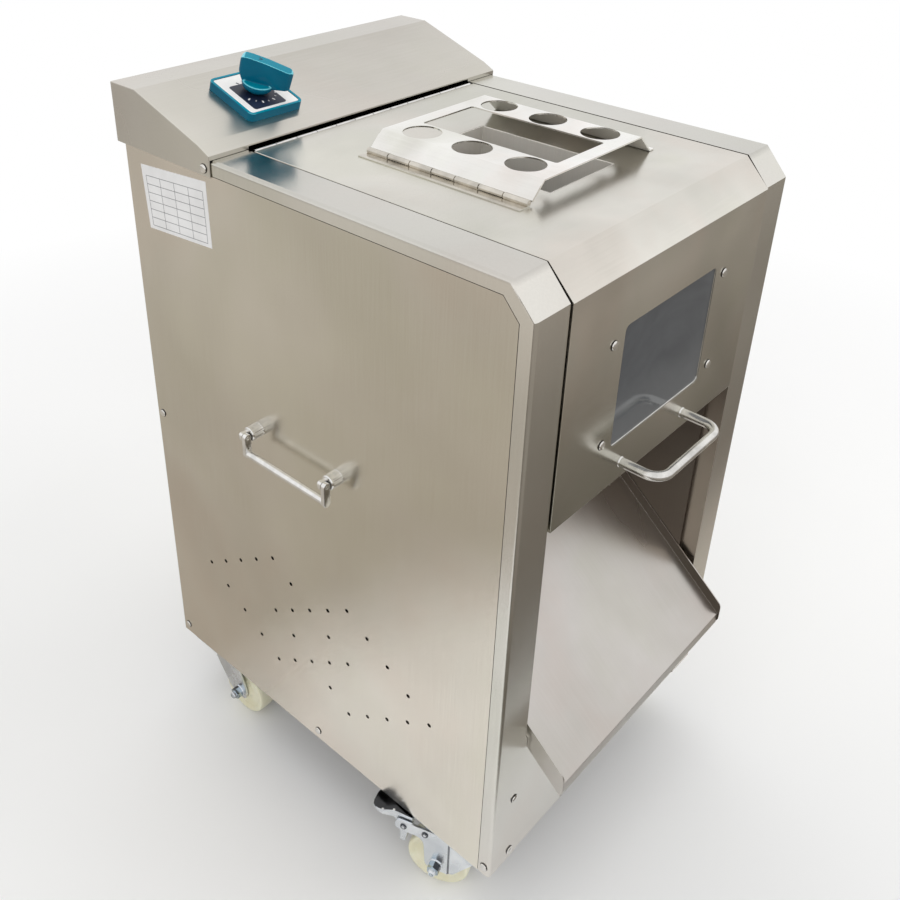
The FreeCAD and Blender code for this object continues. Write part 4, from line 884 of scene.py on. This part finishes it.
def bail(side):
    """Grip rod between two round-ended links."""
    low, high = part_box(side + "_side_bail")
    x = (low.x + high.x) / 2
    w = (high.x - low.x) / 2
    outline = rounded_rectangle((x - w) / mm, (x + w) / mm, low.z / mm, high.z / mm, w / mm - 0.2, 8)
    links = prisms([[Vector((a * mm, y, b * mm)) for a, b in outline]
                    for y in (low.y, high.y - link_thickness * mm)], y_axis * (link_thickness * mm))
    build = bmesh.new()
    build.from_mesh(bevelled(links, 0.7, 3, 60))
    long = (high.y - low.y) / mm - 2 * link_thickness
    end = [(-0.5, collar_radius), (1.2, collar_radius), (2.2, rod_radius)]
    rod = end + [(long - along, r) for along, r in end[::-1]]
    lathe(build, rod, Vector((x, low.y + link_thickness * mm, low.z + w)), y_axis, 32)
    finish_mesh(side + "_bail_bar", build, chrome, side + "_bail", [side + "_side_bail"])


side_posts()
bail("left")
bail("right")

# Castors

castor_offset = 28.0
axle_z = -62.5
wheel_width = 24.0
wheel_side = [(0, 4.2), (0, 13.0), (0.8, 14.0), (2.4, 16.5), (2.4, 28.5), (0.8, 31.0), (0.3, 34.1),
              (1.1, 36.1), (3.0, 37.2), (5.5, 37.5)]
fork_half_width = 17.5
nut_height = 9.0
nut_reach = 8.0
washer = [(0, 8.6), (0.7, 8.6), (1.2, 8.1), (1.2, 0)]
bolt_end = [(-0.5, 4.55), (2.8, 4.55), (4.0, 4.0), (4.7, 2.8), (5.0, 1.2), (5.0, 0)]
rivet_end = [(0, 3.9), (0.8, 3.9), (1.5, 3.2), (1.5, 2.0), (0.8, 1.6), (0.8, 0)]
crease_rows = (12.0, 14.0)
crease_lean = (0.3, 0.95)
tread_least = 8.0

# Turned ends on both sides of a fork: how far out, how far trailing, height, profile and sides
bolt_pieces = [(0.0, castor_offset, axle_z, washer, 32), (nut_height, castor_offset, axle_z, bolt_end, 28)]
rivet_pieces = [(0.0, trail, -17.3, rivet_end, 24) for trail in (68.5, 42.0)]


def fork_ends(name, body, at, axle, pieces, material):
    """The ends of bolts or rivets on both sides of a fork."""
    build = bmesh.new()
    for side in (-1, 1):
        for out, trail, z, profile, sides in pieces:
            foot = Vector((side * (fork_half_width + out), trail, z))
            lathe(build, profile, at @ (foot * mm), axle * side, sides)
    finish_mesh(name, from_bmesh(build, outward=True), material, body, ())


def castor(name):
    """Fork, smooth wheel, bolt ends and rivets, drawn trailing to the back and turned to the heading."""
    x, y, heading = castors[name]
    turned = Matrix.Rotation(math.radians(heading), 4, "Z")
    at = Matrix.Translation(place(x, y, 0)) @ turned
    axle = turned @ x_axis
    profile = wheel_side + [(wheel_width - along, r) for along, r in wheel_side[::-1]]
    build = bmesh.new()
    lathe(build, profile, at @ (Vector((-wheel_width / 2, castor_offset, axle_z)) * mm), axle, 72)
    finish_mesh(name + "_tyre", build, nylon, name + "_castor_wheel", [name + "_wheel"], 30)
    body = name + "_castor"
    fork = copied(name + "_fork", body, [zinc, zinc_black_and_painted_shade, zinc_blue, zinc_crease_painted_shade], edge=0.35, angle=33)
    back = at.inverted()
    # Forward faces of the nuts take the near-black zinc as painted shade, the other nut faces take blue zinc,
    # and the sloped faces of the crease take the darker crease zinc as painted shade.
    for face in fork.data.polygons:
        spot = back @ face.center / mm
        facing = turned.inverted() @ face.normal
        nut = abs(spot.x) > fork_half_width + 0.5 and abs(spot.y - castor_offset) < nut_reach
        if crease_rows[0] < spot.y < crease_rows[1] and crease_lean[0] < abs(facing.x) < crease_lean[1]:
            face.material_index = 3
        elif nut:
            face.material_index = 1 if facing.y < -0.4 else 2
    fork_ends(name + "_bolt", body, at, axle, bolt_pieces, zinc)
    if name.startswith("front"):
        fork_ends(name + "_rivets", body, at, axle, rivet_pieces, zinc_black_and_painted_shade)


def pedal(name):
    """Brake pedal whose broad upward faces take near-black zinc between bright cheeks: a painted reflection
    of the cabinet's dark underside.
    """
    piece = copied(name + "_brake_pedal", name + "_pedal", [zinc, zinc_black_and_painted_shade], edge=0.4, angle=33)
    for face in piece.data.polygons:
        face.material_index = int(face.normal.z > 0.5 and face.area > tread_least * mm * mm)


for corner in castors:
    castor(corner)
pedal("front_left")
pedal("front_right")

# Rotary switch

switch = joints["switch_turn"]
switch_up = Vector(switch["axis"]).normalized()
switch_height = 9.5
switch_half = 35.0
switch_rim = 3.0
switch_recess = 1.8
dial_thickness = 1.2
dial_gap = 0.2
dial_patch = (-24.0, 18.0, -28.0, 16.0)
print_thickness = 0.08
mark_ring = 19.0
mark_pitch = 20.0
knob_gap = 0.3
knob_neck = (9.5, 2.0)
knob_hub = (16.5, 11.5)
knob_nose_reach = 34.0
knob_tail_reach = 21.0
knob_half_thickness = 6.25
knob_height = 37.0
knob_crown = 35.5
crown_rows = (-10.0, 6.0)
knob_nose_top = 31.0
knob_nose_rise = 11.5
knob_tail_rise = 20.0
knob_underside = 8.0
knob_turn = math.radians(220.0)
pointer = [(-2.6, -2.0), (-1.5, -2.0), (0, 0.4), (1.5, -2.0), (2.6, -2.0), (0, 2.1)]
pointer_y = -1.0
dial_face = switch_height - switch_recess
dial_top = dial_face + dial_thickness
knob_base = dial_top + knob_gap
switch_axes = Matrix((x_axis, switch_up.cross(x_axis), switch_up)).transposed().to_4x4()
switch_at = Matrix.Translation(Vector(switch["pos_m"]) - switch_up * switch_height * mm) @ switch_axes


def on_slope(mesh, turn=0.0):
    """Put a mesh that was drawn flat round the origin on the hood's slope."""
    mesh.transform(switch_at @ Matrix.Rotation(turn, 4, "Z"))
    return mesh


def raised(outline, low, high):
    """A flat outline in millimetres raised between two levels."""
    return prisms([[Vector((x, y, low)) * mm for x, y in outline]], z_axis * ((high - low) * mm))


def across(outline, width):
    """A side view as (y, z), raised to both sides along X."""
    return prisms([[Vector((-width, y, z)) * mm for y, z in outline]], x_axis * (2 * width * mm))


def square(side, corner):
    return rounded_rectangle(-side, side, -side, side, corner)


def softened(points, radii):
    """Corners of a closed flat outline as pairs, each with a radius rounded into short runs."""
    corners = [Vector((x, y, 0)) for x, y in points]
    result = []
    for index, radius in enumerate(radii):
        after = corners[(index + 1) % len(corners)]
        result += rounded_path([corners[index - 1], corners[index], after], radius, 5)[1:-1]
    return [(point.x, point.y) for point in result]


def knob_paddle():
    """Upright paddle: its plan and its side view carried through each other."""
    t = knob_half_thickness
    base, top, low = knob_base, knob_base + knob_height, knob_base + knob_underside
    shoulder = knob_nose_reach - 4
    plan = softened([(-t, -knob_tail_reach), (t, -knob_tail_reach), (t, shoulder), (1.5, knob_nose_reach),
                     (-1.5, knob_nose_reach), (-t, shoulder)], [5.0, 5.0, 4.0, 1.2, 1.2, 4.0])
    side = softened([(-knob_tail_reach, base + knob_tail_rise), (-knob_hub[0] + 2, low),
                     (knob_hub[0] - 2, low), (knob_nose_reach - 1, base + knob_nose_rise),
                     (knob_nose_reach, base + knob_nose_top), (crown_rows[1], base + knob_crown),
                     (crown_rows[0], top), (-knob_tail_reach, top)],
                    [6.0, 5.0, 5.0, 1.5, 3.5, 30.0, 20.0, 5.5])
    return combined(raised(plan, base, top), across(side, 2 * t), "INTERSECT")


def painted_edge_highlights(mesh, inner=0.0, level=0.0):
    """Paint a paler highlight on the rounded upper edges, but not on those inside a radius and low."""
    for face in mesh.polygons:
        out = math.hypot(face.center.x, face.center.y) > inner * mm or face.center.z > level * mm
        face.material_index = int(out and 0.3 < face.normal.z < 0.93)
    return mesh


def switch_plate():
    """Rim, and the plate in its recess with a dark patch."""
    inner = switch_half - switch_rim
    outer = raised(square(switch_half, 6.0), 0, switch_height)
    recess = raised(square(inner, 3.5), dial_face, switch_height + 3)
    rim = painted_edge_highlights(moulded(combined(outer, recess), 5))
    finish_mesh("switch_rim", on_slope(rim), [teal, teal_painted_highlight], "cabinet", ["switch_frame"],
                60)
    plate = bevelled(raised(square(inner - dial_gap, 3.3), dial_face, dial_top), 0.2)
    flat_first(finish_mesh("switch_plate", on_slope(plate), white_plastic, "cabinet", ["switch_dial"]))
    patch = raised(rounded_rectangle(*dial_patch, 3.0), dial_top, dial_top + print_thickness)
    finish_mesh("switch_patch", on_slope(patch), ink, "cabinet", ())


def dial_marks(name, count, start, material, level):
    """Plain marks in a ring round the knob, every other one long, from a start in degrees."""
    outlines = []
    for index in range(count):
        turn = math.radians(start + index * mark_pitch)
        u = Vector((math.cos(turn), math.sin(turn), 0))
        v = Vector((-u.y, u.x, 0))
        wide, long = (0.4, 2.0) if index % 2 else (0.8, 3.4)
        foot = u * mark_ring + z_axis * level
        corners = ((0, wide), (0, -wide), (long, -wide), (long, wide))
        outlines.append([(foot + u * a + v * b) * mm for a, b in corners])
    marks = prisms(outlines, z_axis * (print_thickness * mm))
    finish_mesh(name, on_slope(marks), material, "cabinet", ())


def knob():
    """Hub on a bowl-shaped neck, moulded in one with the paddle, and the pointer on its crown."""
    neck, neck_top = knob_neck
    hub, hub_top = knob_hub
    rise, flare = hub_top - 2.5 - neck_top, hub - neck
    bowl = [(neck_top + rise * (1 - math.cos(turn)), neck + flare * math.sin(turn))
            for turn in (math.pi / 2 * k / 8 for k in range(9))]
    rim = [(hub_top - 1.2, hub), (hub_top - 0.3, hub - 0.5), (hub_top, hub - 1.4), (hub_top, 0)]
    build = bmesh.new()
    lathe(build, [(-8.0, 4.0), (0, 4.0), (0, neck)] + bowl + rim, z_axis * (knob_base * mm), z_axis, 64)
    build.from_mesh(knob_paddle())
    handle = painted_edge_highlights(moulded(from_bmesh(build), 14), hub - 2.5, knob_base + 25.0)
    finish_mesh("switch_handle", on_slope(handle, knob_turn), [teal, teal_painted_highlight], "switch_knob",
                ["switch_knob"], 60)
    fall = (knob_height - knob_crown) / (crown_rows[1] - crown_rows[0])
    level = knob_base + knob_height - fall * (pointer_y - crown_rows[0])
    arrow = raised(pointer, -1.0, 0.12)
    arrow.transform(Matrix.Translation(Vector((0, pointer_y, level)) * mm) @ Matrix.Rotation(-fall, 4, "X"))
    finish_mesh("switch_pointer", on_slope(arrow, knob_turn), ink, "switch_knob", ())


switch_plate()
dial_marks("switch_ticks", 7, -150.0, white_plastic, dial_top + print_thickness)
dial_marks("switch_marks", 5, 40.0, ink, dial_top)
knob()

# Sticker


def sticker():
    """Plain white sticker with an empty ruled table."""
    a, b, c, d = [Vector(corner) for corner in sticker_corners]

    def patch(u0, u1, v0, v1, lift):
        """Corners of a patch, with u from back to front and v from top to bottom."""
        points = [a.lerp(b, u).lerp(d.lerp(c, u), v) for u, v in ((u0, v0), (u1, v0), (u1, v1), (u0, v1))]
        return [place(-half - lift, point[0], point[1]) for point in points]

    finish_mesh("side_sticker", prisms([patch(0, 1, 0, 1, 0.18)], x_axis * (0.18 * mm)), paper, "cabinet", ())
    left, right, top, bottom = sticker_table
    thin_u, thin_v = sticker_line
    lines = []
    for index in range(sticker_rows + 1):
        v = top + (bottom - top) * index / sticker_rows
        lines.append(patch(left, right, v - thin_v, v + thin_v, 0.21))
    for index in range(sticker_columns + 1):
        u = left + (right - left) * index / sticker_columns
        lines.append(patch(u - thin_u, u + thin_u, top, bottom, 0.21))
    finish_mesh("side_sticker_table", prisms(lines, x_axis * (0.05 * mm)), grey_line, "cabinet", ())


sticker()

# Floor, light and camera

floor_fade = (0.8, 1.8)
sky_light = 0.62


def plane(name, size, height, surface):
    bpy.ops.mesh.primitive_plane_add(size=size, location=(0, 0, height))
    made = bpy.context.object
    made.name = name
    made.data.materials.append(surface.material)
    return made


def stage_floor():
    """Pale floor that keeps the machine's shadow and turns white to the eye further away."""
    surface = Surface("pale_floor", Roughness=0.9)
    clouds = surface.noise(1.5, 2.0)
    surface.give(Base_Color=surface.ramp(clouds, [(0.3, (0.86, 0.86, 0.855)), (0.7, (0.88, 0.88, 0.875))]))
    away = surface.between(surface.measured("LENGTH"), 0.0, 1.0, *floor_fade)
    seen = surface.node("LightPath").outputs["Is Camera Ray"]
    share = surface.node("Math", {0: away, 1: seen}, operation="MULTIPLY").outputs[0]
    white = surface.node("Emission", {"Color": (1.0, 1.0, 1.0, 1.0)})
    surface.shaded(share, surface.shader, white)
    floor = plane("floor", 14, 0, surface)


def studio_world():
    """White to the eye, to gloss and through glass; a plain level of light for the rest."""
    world = bpy.data.worlds.new("studio")
    scene.world = world
    world.use_nodes = True
    sky = Tree(world.node_tree)
    sky.tree.nodes.clear()
    rays = sky.node("LightPath").outputs
    seen = rays["Is Camera Ray"]
    for ray in ("Is Glossy Ray", "Is Transmission Ray"):
        seen = sky.node("Math", {0: seen, 1: rays[ray]}, operation="MAXIMUM").outputs[0]
    strength = sky.node("MapRange", {"Value": seen, "To Min": sky_light, "To Max": 1.0})
    light = sky.node("Background", {"Color": (1.0, 1.0, 1.0, 1.0),
                                              "Strength": strength.outputs["Result"]})
    sky.node("OutputWorld", {"Surface": light.outputs[0]})


def soft_lamp(name, spot, target, size, radiance):
    """A large square lamp whose face has the given radiance."""
    lamp = bpy.data.lights.new(name, "AREA")
    lamp.shape = "SQUARE"
    lamp.size = size
    lamp.energy = radiance * math.pi * size * size
    holder = linked(name, lamp)
    holder.location = spot
    holder.rotation_euler = (Vector(target) - Vector(spot)).to_track_quat("-Z", "Y").to_euler()
    holder.visible_glossy = False


def reflection_card(name, height, measure, cover, tones):
    """A darker floor that only gloss sees, as a workshop's floor is.

    measure says how a distance is taken; cover gives where the card starts and is whole, and tones its
    colours at two distances."""
    surface = Surface(name)
    distance = surface.measured(*measure)
    (near, first), (far, second) = tones
    tone = surface.mixed(surface.between(distance, 0.0, 1.0, near, far), (*first, 1.0), (*second, 1.0))
    clear = surface.node("BsdfTransparent")
    matt = surface.node("BsdfDiffuse", {"Color": tone})
    surface.shaded(surface.between(distance, 0.0, 1.0, *cover), clear, matt)
    card = plane(name, 12, height, surface)
    for sight in ("camera", "diffuse", "shadow", "transmission"):
        setattr(card, "visible_" + sight, False)


stage_floor()
studio_world()
# Distance from the floor by the front left corner, and distance in front of the machine's middle
reflection_card("far_card", 0.002, ("DISTANCE", (-0.3, -0.42, 0.0)), (0.52, 0.72),
                ((0.5, (0.48, 0.44, 0.385)), (2.2, (0.66, 0.63, 0.58))))
reflection_card("front_card", 0.004, ("DOT_PRODUCT", (0.0, -1.0, 0.0)), (0.37, 0.47),
                ((0.5, (0.15, 0.133, 0.112)), (1.1, (0.31, 0.285, 0.25))))
soft_lamp("lamp_front_right", (2.2, -1.9, 2.3), (0, 0, 0.5), 3.0, 1.3)
soft_lamp("lamp_left", (-2.6, -1.2, 2.2), (0, 0, 0.4), 3.0, 1.2)
soft_lamp("lamp_top", (0.2, 0.9, 3.2), (0, 0, 0.6), 3.0, 1.2)

camera_data = bpy.data.cameras.new("camera")
camera_data.sensor_width = 36.0
camera_data.lens = 41.09
camera_data.shift_x = 0.0391
camera_data.shift_y = -0.1376
camera = linked("camera", camera_data)
camera.rotation_mode = "QUATERNION"
camera.location = (-0.7754, -0.6240, 1.1476)
camera.rotation_quaternion = (0.790351, 0.459241, -0.211995, -0.345690)
scene.camera = camera
scene.view_settings.view_transform = "Standard"
